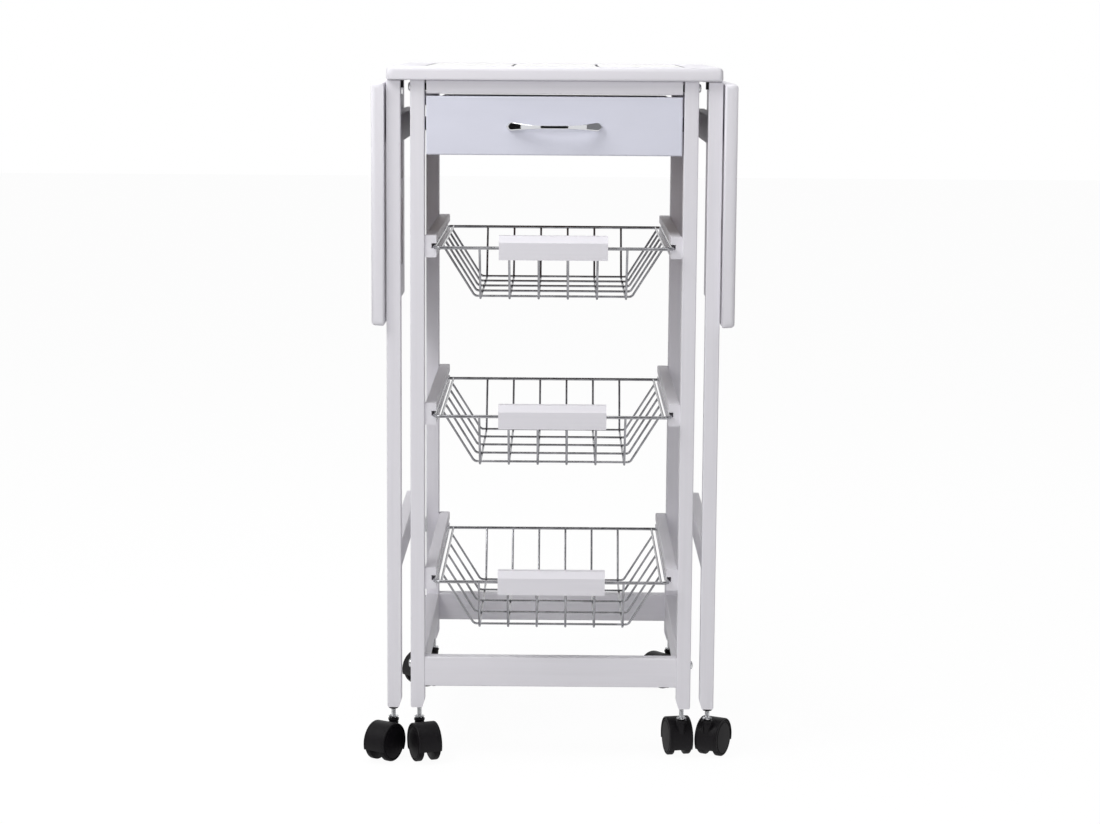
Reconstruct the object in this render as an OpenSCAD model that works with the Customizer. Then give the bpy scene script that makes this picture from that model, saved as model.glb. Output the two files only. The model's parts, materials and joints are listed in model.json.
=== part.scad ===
// Folding kitchen cart on six swivel casters.
// Tiled worktop, one drawer, three pull-out wire baskets and two drop leaves
// that are carried, when raised, by a hinged gate frame on each side.
// Units are millimetres, +Z is up, the front of the cart faces -Y.

/* [Worktop] */

// Height of the tiled surface above the floor
cart_h = 783; // [700:1:900]
// Width of the fixed worktop
top_w = 370; // [340:1:460]
// Depth of the fixed worktop
top_d = 370; // [340:1:460]
// Thickness of the fixed worktop
top_t = 15; // [13:0.5:24]
// Side of one square tile
tile_w = 95; // [80:0.5:98]
// Thickness of one tile
tile_t = 5.5; // [4:0.5:7]
// Corner radius of a tile
tile_r = 1.2; // [0.5:0.1:3]
// Width of the grout joint between tiles
joint_w = 2.5; // [1.5:0.1:4]
// Depth of the joint below the tile surface
joint_deep = 0.8; // [0.3:0.1:2]
// Thickness of the grout bed under the tiles
bed_t = 1.5; // [1:0.1:3]
// Thickness of the hardboard that backs the bed
board_t = 3; // [2:0.1:4]
// Width of the ledge that carries the hardboard
ledge_w = 6; // [4:0.5:10]
// Width of the battens under the tile joints
batten_w = 24; // [16:1:34]
// Radius of the long edges of worktop and leaves
edge_r = 3; // [1:0.5:5]
// Radius of the worktop and leaf corners seen from above
corner_r = 5; // [2:0.5:12]

/* [Drop leaves] */

// Length of a leaf, hinge edge to free edge
leaf_l = 269.5; // [240:0.5:330]
// Thickness of a leaf
leaf_t = 14.5; // [13:0.5:20]
// Height of the leaf hinge pin below the worktop underside
pin_drop = 2; // [1.8:0.1:4]
// Gap between the pin line and each wooden edge
leaf_gap = 0.25; // [0.2:0.05:1]
// Width of one leaf hinge
hinge_w = 40; // [30:1:60]
// Length of a hinge plate from the pin
hinge_l = 20; // [14:1:28]
// Thickness of a hinge plate
hinge_t = 1.2; // [0.8:0.1:2]
// Diameter of the leaf hinge knuckle
knuckle_d = 3.9; // [3.4:0.1:4]
// Diameter of the leaf hinge pin
hinge_pin_d = 2.2; // [1.8:0.1:2.6]
// Distance of each hinge from the middle of the leaf
hinge_y = 112; // [80:1:130]
// Gap between a hanging leaf and its gate leg
leaf_clear = 1.75; // [1:0.05:6]

/* [Frame] */

// Side of a square leg
leg_w = 16; // [14:0.5:24]
// How far the worktop stands out over the legs, front and back
overhang = 9; // [2:0.5:20]
// Radius of the long edges of legs and rails
wood_r = 1.5; // [0.5:0.1:3]
// Bevel on the inner face at a leg's foot, sideways
foot_in = 3; // [1:0.5:5]
// Bevel on the inner face at a leg's foot, upwards
foot_up = 9; // [4:0.5:14]
// Small bevel on the outer face at a leg's foot
foot_out = 1; // [0.5:0.1:2]
// Height of the bottom rails
rail_h = 34; // [28:1:40]
// Underside of the bottom rails above the floor
rail_z = 84; // [80:1:100]
// How far the front and back rails sit behind the leg faces
rail_set = 1; // [0:0.5:3]
// Height of the strips that close the frame under the worktop
apron_h = 15; // [12:0.5:22]
// Thickness of the black washers between a strip and a leg
washer_t = 2; // [1:0.1:3]
// Width of those washers
washer_w = 12; // [8:0.5:15]
// Height of those washers
washer_h = 8; // [6:0.5:12]
// Diameter of a frame bolt's head
bolt_head_d = 9.5; // [8:0.5:13]
// Height of a frame bolt's head
bolt_head_t = 2.5; // [1.5:0.1:4]
// Diameter of a frame bolt
bolt_d = 5; // [4:0.5:6]
// Length of a frame bolt's shank
bolt_l = 46; // [30:1:60]
// Height of the lower bolts above the rails' underside
bolt_up = 25; // [8:0.5:28]
// Distance of the dark screws under the front rail from the legs
plug_in = 10; // [6:1:40]
// Diameter of the dark screws under the front rail
plug_d = 6.5; // [5:0.5:9]
// Height of the dark screws under the front rail
plug_t = 1.5; // [1:0.1:3]

/* [Gates] */

// Gap between a main leg and the gate leg beside it
gate_gap = 10.5; // [8:0.5:16]
// Gap between a gate leg's top and the worktop
gate_drop = 0.8; // [0.4:0.1:2]
// Height of the gate rails
gate_rail_h = 31; // [24:1:45]
// Thickness of the gate rails
gate_rail_t = 14; // [10:0.5:16]
// Middle of the lower gate rail above the floor
gate_low_z = 231.5; // [180:0.5:320]
// Middle of the upper gate rail below the worktop
gate_high_drop = 54.5; // [52:0.5:120]
// Gap between the gate's stile and the back leg
stile_gap = 2.5; // [1:0.5:5]
// How far the stile runs past the rails
stile_over = 2; // [1:0.5:6]
// Diameter of a gate pivot pin
pivot_d = 6; // [5:0.5:8]
// Length of a gate pivot pin in the stile
pivot_l = 18; // [12:1:26]
// Thickness of the pivot brackets
bracket_t = 2; // [1.5:0.1:3]
// Width of the pivot brackets
bracket_w = 14; // [10:0.5:16]
// Height of a bracket's flange on the leg
bracket_h = 17; // [14:0.5:20]
// Thickness of the black pad on a gate leg
pad_t = 2.8; // [1.5:0.1:5]
// Height of the black pad on a gate leg
pad_h = 8; // [5:0.5:14]
// Width of the black pad on a gate leg
pad_w = 12; // [8:0.5:15]

/* [Drawer] */

// Height of the drawer front
front_h = 64.5; // [50:0.5:90]
// Thickness of the drawer front
front_t = 15.5; // [12:0.5:18]
// Gap between the top strip and the drawer front
front_gap = 2.5; // [1.5:0.1:5]
// Gap between the drawer front and each leg
front_side = 1.7; // [1:0.1:3]
// Radius of the drawer front's edges
front_r = 2; // [1:0.5:4]
// Thickness of the drawer's sides and back
side_t = 12; // [9:0.5:15]
// Height of the drawer's sides and back
side_h = 55; // [35:1:60]
// How far the sides stand above the front's lower edge
side_up = 4; // [2:0.5:8]
// Gap between the drawer and the back strip
drawer_gap = 5.5; // [2:0.5:60]
// Distance from a leg to the drawer's side
side_gap = 8; // [6:0.5:12]
// Thickness of the drawer's bottom panel
panel_t = 3; // [2:0.1:4]
// Depth of the groove that holds the bottom panel
panel_in = 4; // [2:0.5:5]
// Height of the bottom panel above the sides' lower edge
panel_up = 4; // [3:0.5:10]
// Height of a drawer runner strip
runner_h = 10; // [6:0.5:14]
// How far a runner reaches into the drawer's side
runner_in = 5.5; // [3:0.5:7]
// Running gap between runner and drawer
runner_gap = 0.25; // [0.1:0.05:0.3]
// How far a runner's ends reach between the front and back legs
runner_seat = 8; // [4:0.5:12]
// Distance between the handle's two fixings
handle_cc = 96; // [64:1:160]
// Overall length of the bow handle
handle_l = 108; // [80:1:180]
// How far the bow stands out from the drawer front
handle_out = 22; // [18:0.5:32]
// Height of the drawer handle in its middle
handle_h = 4.2; // [3:0.2:8]
// Height of the lobes at the handle's ends
handle_end_h = 9.5; // [6:0.5:14]
// Length of the lobes, over which the handle grows from slim to full height
handle_lobe_l = 18; // [10:1:30]
// Thickness of the bow's section
handle_t = 4; // [3:0.5:8]
// Diameter of the handle's feet
handle_foot_d = 7; // [5:0.5:10]
// Diameter of the handle screws
screw_d = 4; // [3:0.5:5]

/* [Wire baskets] */

// Height of the lowest basket's rim above the floor
basket_z = 208.5; // [195:0.5:230]
// Distance from one basket to the next
basket_pitch = 188; // [150:1:195]
// Distance from a leg to the middle of the rim wire
rim_in = 11.5; // [10.5:0.1:12]
// Depth of the rim, middle to middle of the wires
rim_d = 320; // [300:1:330]
// How far the rim stands out in front of the legs
rim_out = 14; // [13:0.5:24]
// Depth of the basket below its rim
basket_h = 57; // [40:1:68]
// How much the floor is narrower than the rim at each side
floor_side = 43.5; // [20:0.5:60]
// How much the floor is shorter than the rim at each end
floor_in = 34; // [20:1:36]
// Number of wires across
cross_n = 5; // [3:1:6]
// Distance between the wires across
cross_pitch = 60; // [30:1:62]
// Number of wires front to back
long_n = 6; // [2:2:6]
// Distance between the wires front to back
long_pitch = 32.6; // [20:0.2:34]
// Inset of the straight wire along each side
side_wire_in = 8; // [5:0.5:14]
// Diameter of the rim wire
rim_wire_d = 3.6; // [3:0.1:5]
// Diameter of the other wires
wire_d = 2.6; // [2:0.1:3.4]
// Radius of the rim's corners
rim_bend = 7; // [4:0.5:14]
// Radius of the bends in the other wires
wire_bend = 6; // [3:0.5:12]
// How much thicker a wire is in its bends than in its straight pieces
bend_more = 0.1; // [0.08:0.02:0.3]
// How far the straight pieces reach into a bend
bend_lap = 0.4; // [0.2:0.05:0.5]
// How far crossing wires are pressed into one another at a weld
weld = 0.5; // [0.2:0.1:1]
// Width of a basket slide
slide_w = 13; // [12:0.5:16]
// Height of a basket slide
slide_h = 24.5; // [18:0.5:32]
// How far a slide ends inside the legs' front and back faces
slide_set = 3; // [0:0.5:10]
// Height of the groove in a slide
groove_h = 5.5; // [4.5:0.1:7]
// Depth of the groove in a slide
groove_in = 5.5; // [4.5:0.5:8]
// Gap between the rim wire and the groove's floor
groove_gap = 0.2; // [0.1:0.05:0.3]
// Length of a basket handle
bar_l = 120; // [80:1:180]
// Height of a basket handle
bar_h = 26.5; // [20:0.5:36]
// Thickness of a basket handle
bar_t = 15; // [10:0.5:20]
// Height of the bevel along a basket handle's top
bar_bevel_h = 7.5; // [3:0.5:10]
// Depth of that bevel
bar_bevel_t = 5; // [2:0.5:8]

/* [Casters] */

// Diameter of a caster wheel
wheel_d = 42; // [36:0.5:44]
// Distance from the stem to the axle
trail = 18; // [16:0.5:21]
// Width of a caster over its hood
hood_w = 27.4; // [24:0.2:30]
// Radial thickness of the hood's shell
hood_t = 1.5; // [1:0.1:3]
// Radial gap between wheel and hood
hood_gap = 0.5; // [0.3:0.1:1.5]
// Height of the hood's lower edge above the floor, on the stem's side
hood_z = 9; // [5:0.5:14]
// Height of the hood's lower edge on the side away from the stem
hood_tail_z = 15; // [5:0.5:18]
// Thickness of the web between the two wheels
web_t = 12.4; // [7:0.2:14]
// Side gap between a wheel and the web
wheel_side = 0.35; // [0.3:0.05:1]
// How far the wheels sit inside the hood's side edges
wheel_in = 0.4; // [0:0.1:1]
// Diameter of the neck round the stem, at its top
neck_d = 12.5; // [10:0.5:16]
// Diameter of the neck at its lower end, inside the hood
neck_low_d = 7; // [6.5:0.5:12]
// Height of the neck above the hood's top
neck_up = 1; // [0.5:0.5:6]
// Height of the stem between neck and leg
stem_show = 14.2; // [8:0.1:18]
// Diameter of the caster's axle
axle_d = 5; // [4:0.5:8]
// Diameter of the caster's stem
stem_d = 5.5; // [4:0.5:6]
// How far a stem sits off its leg's middle, away from its neighbour
stem_off = 1.5; // [0:0.5:3]
// Depth of the stem in the leg
stem_in = 32; // [20:1:40]
// Depth of the stem in the neck
stem_low = 18; // [12:1:22]
// Diameter of the stem's lower collar
collar_d = 9.5; // [8:0.5:12]
// Swivel angle of the left gate caster away from straight ahead
turn_gate_left = 31; // [10:1:60]
// Swivel angle of the right gate caster away from straight behind
turn_gate_right = 27; // [10:1:60]
// Swivel angle of the left main caster
turn_left = 22; // [10:1:60]
// Swivel angle of the right main caster
turn_right = 12; // [8:1:60]
// Swivel angle of the two back casters
turn_back = 50; // [0:1:180]

/* [Fits] */

// Radial clearance of a pin in its bore
pin_gap = 0.05; // [0.02:0.01:0.1]
// Radial clearance of a fixed bolt or stem in its hole
bolt_gap = 0.1; // [0.05:0.05:0.3]
// Gap between hinge knuckles, and above and below a gate
end_gap = 0.3; // [0.2:0.05:0.6]

/* [Hidden] */

$fn = 64;
paint = [0.88, 0.88, 0.90];
tile_white = [0.95, 0.94, 0.91];
grout_grey = [0.33, 0.33, 0.34];
brown = [0.50, 0.33, 0.18];
steel = [0.72, 0.72, 0.74];
chrome = [0.80, 0.80, 0.83];
black = [0.06, 0.06, 0.07];

// Furthest a caster turned by this angle reaches in front of its stem
function reach(turn) = (trail + hood_r) * cos(turn) + hood_w / 2 * sin(turn);
// Height of the hood's lower edge, which slants up away from the stem
function hood_edge(y) = hood_z + (hood_tail_z - hood_z) * (hood_r - trail - y) / (2 * hood_r);

under_z = cart_h - top_t;
frame_d = top_d - 2 * overhang;
half_d = frame_d / 2;
hood_r = wheel_d / 2 + hood_gap + hood_t;
pocket_r = wheel_d / 2 + hood_gap;
axle_z = wheel_d / 2;
neck_z = axle_z + hood_r + neck_up;
leg_z = neck_z + stem_show;
recess = tile_t + bed_t + board_t;
pin_x = top_w / 2 + leaf_gap;
pin_z = under_z - pin_drop;
gate_in = pin_x + pin_drop - leaf_clear - leg_w;
leg_in = gate_in - gate_gap - leg_w;
leg_x = leg_in + leg_w / 2;
gate_x = gate_in + leg_w / 2;
bolt_z = rail_z + bolt_up;
gate_high_z = under_z - gate_high_drop;
leg_y = half_d - leg_w / 2;
stem_x = leg_x - stem_off;
stem_gate_x = gate_x + stem_off;
// Brings the frame origin under the middle of everything
turn_front = min(turn_gate_left, turn_gate_right, turn_left);
cart_y = (leg_y + max(reach(turn_front), reach(turn_gate_left)) - top_d / 2) / 2;
apron_z = under_z - apron_h;
apron_x = leg_in - washer_t;
front_z = apron_z - front_gap - front_h;
front_x = leg_in - front_side;
side_z = front_z + side_up;
side_y = -half_d + front_t;
side_l = frame_d - front_t - leg_w - drawer_gap;
side_out = leg_in - side_gap;
side_in = side_out - side_t;
runner_z = side_z + side_h / 2 - runner_h / 2;
panel_z = side_z + panel_up;
handle_z = front_z + front_h / 2 - 0.5;
bow_out = handle_out - handle_t / 2;
bow_low = 2;
bow_rise = bow_out - bow_low;
bow_r = (handle_l * handle_l / 4 + bow_rise * bow_rise) / (2 * bow_rise);
bow_half = asin(handle_l / 2 / bow_r);
slide_l = frame_d - 2 * slide_set;
rim_x = leg_in - rim_in;
floor_x = rim_x - floor_side;
rim_y0 = -half_d - rim_out;
rim_y1 = rim_y0 + rim_d;
basket_mid = (rim_y0 + rim_y1) / 2;
wheel_x0 = web_t / 2 + wheel_side;
wheel_w = hood_w / 2 - wheel_in - wheel_x0;
// The stile stands between the back leg and the rails, which lap its outer face
stile_x0 = leg_in + leg_w + stile_gap;
stile_x1 = max(gate_x - gate_rail_t / 2 + 1, stile_x0 + pivot_d + 5);
stile_x = (stile_x0 + stile_x1) / 2;
stile_z = gate_low_z - gate_rail_h / 2 - stile_over;
stile_top = gate_high_z + gate_rail_h / 2 + stile_over;

// General shapes

module cart() {
    translate([0, cart_y, 0])
        children();
}

// Left-hand copy of something drawn on the right
module left_side() {
    mirror([1, 0, 0])
        children();
}

// Flat rectangle with round corners, centred
module round_rect(w, h, r) {
    union() {
        square([w - 2 * r, h], center = true);
        square([w, h - 2 * r], center = true);
        for (sx = [-1, 1])
            for (sy = [-1, 1])
                translate([sx * (w / 2 - r), sy * (h / 2 - r)])
                    circle(r = r);
    }
}

// Straight bar from a to b along one axis, with round long edges
module bar_x(x0, x1, y, z, w, h, r) {
    translate([x0, y, z])
        rotate([90, 0, 90])
            linear_extrude(height = x1 - x0)
                round_rect(w, h, r);
}

module bar_y(y0, y1, x, z, w, h, r) {
    translate([x, y1, z])
        rotate([90, 0, 0])
            linear_extrude(height = y1 - y0)
                round_rect(w, h, r);
}

module bar_z(z0, z1, x, y, w, d, r) {
    translate([x, y, z0])
        linear_extrude(height = z1 - z0)
            round_rect(w, d, r);
}

// Round rod between two points
module rod(a, b, d) {
    v = b - a;
    len = norm(v);
    translate(a)
        rotate([0, acos(v[2] / len), atan2(v[1], v[0])])
            cylinder(h = len, d = d);
}

// Bent wire in the XZ plane: flat floor, two slanted ends, round bends.
// The straight pieces end inside the bends, which are a little thicker.
module u_wire(top, low, drop, r, d) {
    slope = atan2(drop, top - low);
    t = r * tan(slope / 2);
    rise = (drop - r + r * cos(slope)) / sin(slope);
    rod([t - low - bend_lap, 0, -drop], [low - t + bend_lap, 0, -drop], d);
    for (side = [0, 1])
        mirror([side, 0, 0])
            translate([low - t, 0, r - drop])
                rotate([90, 0, 0])
                    rotate([0, 0, -90]) {
                        rotate_extrude(angle = slope)
                            translate([r, 0])
                                circle(d = d + bend_more);
                        rotate([0, 0, slope])
                            translate([r, -bend_lap, 0])
                                rotate([-90, 0, 0])
                                    cylinder(h = rise + bend_lap, d = d);
                    }
}

// Closed rectangle of wire with round corners, middles at +-x and +-y
module wire_ring(x, y, r, d) {
    in = r - bend_lap;
    for (s = [-1, 1]) {
        rod([in - x, s * y, 0], [x - in, s * y, 0], d);
        rod([s * x, in - y, 0], [s * x, y - in, 0], d);
    }
    for (i = [0 : 3])
        rotate([0, 0, 90 * i])
            translate([(i % 2 == 0 ? x : y) - r, (i % 2 == 0 ? y : x) - r, 0])
                rotate_extrude(angle = 90)
                    translate([r, 0])
                        circle(d = d + bend_more);
}

// Tiled panels: the worktop and both leaves share these

function field(n) = n * tile_w + (n + 1) * joint_w;
function joint_at(i, n) = -field(n) / 2 + joint_w / 2 + i * (tile_w + joint_w);

module panel_block(l, d, t) {
    intersection() {
        translate([0, 0, t / 2])
            rotate([90, 0, 90])
                linear_extrude(height = l, center = true)
                    round_rect(d, t, edge_r);
        translate([0, 0, t / 2])
            rotate([90, 0, 0])
                linear_extrude(height = d, center = true)
                    round_rect(l, t, edge_r);
        linear_extrude(height = t)
            round_rect(l, d, corner_r);
    }
}

// Frame with a recess for board, bed and tiles, open below between the battens
module panel_frame(l, d, t, nx, ny) {
    fx = field(nx);
    fy = field(ny);
    difference() {
        panel_block(l, d, t);
        translate([-fx / 2, -fy / 2, t - recess])
            cube([fx, fy, recess + 1]);
        for (i = [0 : nx - 1]) {
            x0 = (i == 0) ? -fx / 2 + ledge_w : joint_at(i, nx) + batten_w / 2;
            x1 = (i == nx - 1) ? fx / 2 - ledge_w : joint_at(i + 1, nx) - batten_w / 2;
            translate([x0, -fy / 2 + ledge_w, -1])
                cube([x1 - x0, fy - 2 * ledge_w, t]);
        }
    }
}

module panel_board(t, nx, ny) {
    translate([-field(nx) / 2, -field(ny) / 2, t - recess])
        cube([field(nx), field(ny), board_t]);
}

module tile_grid(nx, ny) {
    for (i = [0 : nx - 1])
        for (j = [0 : ny - 1])
            translate([joint_at(i + 0.5, nx), joint_at(j + 0.5, ny)])
                round_rect(tile_w, tile_w, tile_r);
}

module panel_tiles(t, nx, ny) {
    translate([0, 0, t - tile_t])
        linear_extrude(height = tile_t)
            tile_grid(nx, ny);
}

module panel_grout(t, nx, ny) {
    z0 = t - tile_t - bed_t;
    difference() {
        translate([-field(nx) / 2, -field(ny) / 2, z0])
            cube([field(nx), field(ny), bed_t + tile_t - joint_deep]);
        translate([0, 0, t - tile_t])
            linear_extrude(height = tile_t)
                tile_grid(nx, ny);
    }
}

module on_top() {
    cart()
        translate([0, 0, under_z])
            children();
}

// The right leaf as it hangs: drawn flat, then turned down about the pin
module hanging() {
    translate([pin_x, 0, pin_z])
        rotate([0, 90, 0])
            translate([leaf_gap + leaf_l / 2, 0, pin_drop])
                children();
}

module top_frame() {
    color(paint)
        on_top()
            panel_frame(top_w, top_d, top_t, 3, 3);
}

module top_board() {
    color(brown)
        on_top()
            panel_board(top_t, 3, 3);
}

module top_grout() {
    color(grout_grey)
        on_top()
            panel_grout(top_t, 3, 3);
}

module top_tiles() {
    color(tile_white)
        on_top()
            panel_tiles(top_t, 3, 3);
}

module leaf_frame_right() {
    color(paint)
        cart()
            hanging()
                panel_frame(leaf_l, top_d, leaf_t, 2, 3);
}

module leaf_board_right() {
    color(brown)
        cart()
            hanging()
                panel_board(leaf_t, 2, 3);
}

module leaf_grout_right() {
    color(grout_grey)
        cart()
            hanging()
                panel_grout(leaf_t, 2, 3);
}

module leaf_tiles_right() {
    color(tile_white)
        cart()
            hanging()
                panel_tiles(leaf_t, 2, 3);
}

module leaf_frame_left() {
    left_side()
        leaf_frame_right();
}

module leaf_board_left() {
    left_side()
        leaf_board_right();
}

module leaf_grout_left() {
    left_side()
        leaf_grout_right();
}

module leaf_tiles_left() {
    left_side()
        leaf_tiles_right();
}

// Leaf hinges: three knuckles, the outer two and the pin belong to the worktop

module knuckle(y0, y1, d) {
    translate([pin_x, y1, pin_z])
        rotate([90, 0, 0])
            cylinder(h = y1 - y0, d = d);
}

module leaf_hinge_fixed_one() {
    third = hinge_w / 3;
    clear = knuckle_d / 2 + end_gap;
    translate([pin_x - hinge_l, -hinge_w / 2, under_z - hinge_t])
        cube([hinge_l - clear, hinge_w, hinge_t]);
    for (s = [-1, 1]) {
        y0 = (s < 0) ? -hinge_w / 2 : third / 2;
        knuckle(y0, y0 + third, knuckle_d);
        translate([pin_x - clear - 1, y0, under_z - hinge_t])
            cube([clear + 1, third, hinge_t - 0.05]);
    }
    knuckle(-hinge_w / 2, hinge_w / 2, hinge_pin_d);
}

module leaf_hinge_moving_one() {
    third = hinge_w / 3;
    clear = knuckle_d / 2 + end_gap;
    difference() {
        union() {
            translate([pin_x + pin_drop - hinge_t, -hinge_w / 2, pin_z - hinge_l])
                cube([hinge_t, hinge_w, hinge_l - clear]);
            knuckle(-third / 2 + end_gap, third / 2 - end_gap, knuckle_d);
            translate([pin_x + pin_drop - hinge_t, -third / 2 + end_gap, pin_z - clear - 1])
                cube([hinge_t - 0.05, third - 2 * end_gap, clear + 1]);
        }
        knuckle(-hinge_w, hinge_w, hinge_pin_d + 2 * pin_gap);
    }
}

module leaf_hinge_fixed() {
    color(steel)
        cart()
            for (side = [0, 1])
                mirror([side, 0, 0])
                    for (s = [-1, 1])
                        translate([0, s * hinge_y, 0])
                            leaf_hinge_fixed_one();
}

module leaf_hinge_right() {
    color(steel)
        cart()
            for (s = [-1, 1])
                translate([0, s * hinge_y, 0])
                    leaf_hinge_moving_one();
}

module leaf_hinge_left() {
    left_side()
        leaf_hinge_right();
}

// Legs, rails and aprons

// Square leg on the right: bevelled foot, bore for the caster stem
module leg(x, stem, z_top) {
    x0 = -leg_w / 2;
    x1 = leg_w / 2;
    difference() {
        translate([x, 0, 0])
            intersection() {
                translate([0, 0, leg_z])
                    linear_extrude(height = z_top - leg_z)
                        round_rect(leg_w, leg_w, wood_r);
                rotate([90, 0, 0])
                    linear_extrude(height = 2 * leg_w, center = true)
                        polygon([
                            [x0 + foot_in, leg_z], [x1 - foot_out, leg_z],
                            [x1, leg_z + 2 * foot_out], [x1, z_top],
                            [x0, z_top], [x0, leg_z + foot_up]
                        ]);
            }
        translate([stem, 0, leg_z - 1])
            cylinder(h = stem_in + 2, d = stem_d + 2 * bolt_gap);
    }
}

module bolt_hole(x0, x1, z) {
    translate([x0, 0, z])
        rotate([0, 90, 0])
            cylinder(h = x1 - x0, d = bolt_d + 2 * bolt_gap);
}

module main_leg() {
    difference() {
        leg(leg_x, stem_x, under_z);
        bolt_hole(leg_in - 1, leg_in + leg_w + 1, bolt_z);
        bolt_hole(leg_in - 1, leg_in + leg_w + 1, apron_z + apron_h / 2);
    }
}

module leg_front_right() {
    color(paint)
        cart()
            translate([0, -leg_y, 0])
                main_leg();
}

module leg_back_right() {
    color(paint)
        cart()
            translate([0, leg_y, 0])
                main_leg();
}

module leg_front_left() {
    left_side()
        leg_front_right();
}

module leg_back_left() {
    left_side()
        leg_back_right();
}

// Front and back bottom rails, bored at both ends for the frame bolts
module rails_cross() {
    w = leg_w - rail_set;
    color(paint)
        cart()
            for (s = [-1, 1])
                translate([0, s * (leg_y - rail_set / 2), 0])
                    difference() {
                        bar_x(-leg_in, leg_in, 0, rail_z + rail_h / 2, w, rail_h, wood_r);
                        translate([0, s * rail_set / 2, 0])
                            for (side = [-1, 1])
                                translate([side * leg_in, 0, bolt_z])
                                    rotate([0, 90, 0])
                                        cylinder(h = 2 * bolt_l, d = bolt_d + 2 * bolt_gap, center = true);
                    }
}

module rails_side() {
    inner = half_d - leg_w;
    color(paint)
        cart()
            for (s = [-1, 1])
                bar_y(-inner, inner, s * leg_x, rail_z + rail_h / 2, leg_w, rail_h, wood_r);
}

module apron(s) {
    color(paint)
        cart()
            translate([0, s * leg_y, 0])
                difference() {
                    bar_x(-apron_x, apron_x, 0, apron_z + apron_h / 2, leg_w, apron_h, wood_r);
                    for (side = [-1, 1])
                        translate([side * apron_x, 0, apron_z + apron_h / 2])
                            rotate([0, 90, 0])
                                cylinder(h = 2 * bolt_l, d = bolt_d + 2 * bolt_gap, center = true);
                }
}

module apron_front() {
    apron(-1);
}

module apron_back() {
    apron(1);
}

module apron_washers() {
    color(black)
        cart()
            for (side = [0, 1])
                mirror([side, 0, 0])
                    for (s = [-1, 1])
                        translate([apron_x, s * leg_y, apron_z + apron_h / 2])
                            difference() {
                                translate([0, -washer_w / 2, -washer_h / 2])
                                    cube([washer_t, washer_w, washer_h]);
                                translate([-1, 0, 0])
                                    rotate([0, 90, 0])
                                        cylinder(h = washer_t + 2, d = bolt_d + 2 * bolt_gap);
                            }
}

module frame_bolt() {
    rotate([0, -90, 0])
        cylinder(h = bolt_l, d = bolt_d);
    rotate([0, 90, 0])
        cylinder(h = bolt_head_t, d = bolt_head_d);
}

module frame_bolts() {
    color(steel)
        cart() {
            for (side = [0, 1])
                mirror([side, 0, 0])
                    for (s = [-1, 1])
                        for (z = [bolt_z, apron_z + apron_h / 2])
                            translate([leg_in + leg_w, s * leg_y, z])
                                frame_bolt();
            for (s = [-1, 1])
                translate([s * (leg_in - plug_in), -leg_y, rail_z - plug_t])
                    cylinder(h = plug_t, d = plug_d);
        }
}

// Gates

module gate_leg_right() {
    color(paint)
        cart()
            translate([0, -leg_y, 0])
                leg(gate_x, stem_gate_x, under_z - gate_drop);
}

module gate_rails_right() {
    inner = half_d - leg_w;
    color(paint)
        cart() {
            for (z = [gate_low_z, gate_high_z])
                bar_y(-inner, half_d - wood_r, gate_x, z, gate_rail_t, gate_rail_h, wood_r);
            difference() {
                bar_z(stile_z, stile_top, stile_x, leg_y, stile_x1 - stile_x0, leg_w, wood_r);
                for (z = [stile_z, stile_top])
                    translate([stile_x, leg_y, z])
                        cylinder(h = 2 * pivot_l + 2, d = pivot_d + 2 * pin_gap, center = true);
            }
        }
}

module gate_pad_right() {
    color(black)
        cart()
            translate([gate_in - pad_t, -leg_y - pad_w / 2, under_z - gate_drop - pad_h])
                cube([pad_t, pad_w, pad_h]);
}

module gate_leg_left() {
    left_side()
        gate_leg_right();
}

module gate_rails_left() {
    left_side()
        gate_rails_right();
}

module gate_pad_left() {
    left_side()
        gate_pad_right();
}

// Pivot bracket seen with its pin pointing up; the upper one is turned over
module pivot_bracket() {
    reach = stile_x + pivot_d - leg_in - leg_w;
    translate([leg_in + leg_w, -bracket_w / 2, -bracket_t])
        cube([reach, bracket_w, bracket_t]);
    translate([leg_in + leg_w, -bracket_w / 2, -bracket_h])
        cube([bracket_t, bracket_w, bracket_h]);
    translate([stile_x, 0, -bracket_t])
        cylinder(h = pivot_l + bracket_t + end_gap, d = pivot_d);
}

module gate_pivots() {
    color(steel)
        cart()
            for (side = [0, 1])
                mirror([side, 0, 0]) {
                    translate([0, leg_y, stile_z - end_gap])
                        pivot_bracket();
                    translate([0, leg_y, stile_top + end_gap])
                        mirror([0, 0, 1])
                            pivot_bracket();
                }
}

// Drawer

module drawer_front() {
    color(paint)
        cart()
            difference() {
                intersection() {
                    translate([0, -half_d + front_t / 2, front_z + front_h / 2])
                        rotate([90, 0, 90])
                            linear_extrude(height = 2 * front_x, center = true)
                                round_rect(front_t, front_h, front_r);
                    translate([0, -half_d + front_t / 2, front_z])
                        linear_extrude(height = front_h)
                            round_rect(2 * front_x, front_t, front_r);
                }
                for (s = [-1, 1])
                    translate([s * handle_cc / 2, -half_d - 1, handle_z])
                        rotate([-90, 0, 0])
                            cylinder(h = front_t + 2, d = screw_d + 2 * bolt_gap);
            }
}

module drawer_box() {
    groove_z0 = runner_z - runner_gap - 0.5;
    groove_h2 = runner_h + 2 * runner_gap + 0.5;
    y1 = side_y + side_l;
    color(paint)
        cart()
            difference() {
                union() {
                    for (s = [-1, 1])
                        translate([s * (side_out - side_t / 2) - side_t / 2, side_y, side_z])
                            cube([side_t, side_l, side_h]);
                    translate([-side_in, y1 - side_t, side_z])
                        cube([2 * side_in, side_t, side_h]);
                }
                for (s = [-1, 1])
                    translate([s * side_out - runner_in - 0.5, side_y - 1, groove_z0])
                        cube([2 * runner_in + 1, side_l + 2, groove_h2]);
                translate([-side_in - panel_in, side_y - 1, panel_z])
                    cube([2 * (side_in + panel_in), side_l - side_t + panel_in + 1, panel_t + 0.2]);
            }
}

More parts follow.
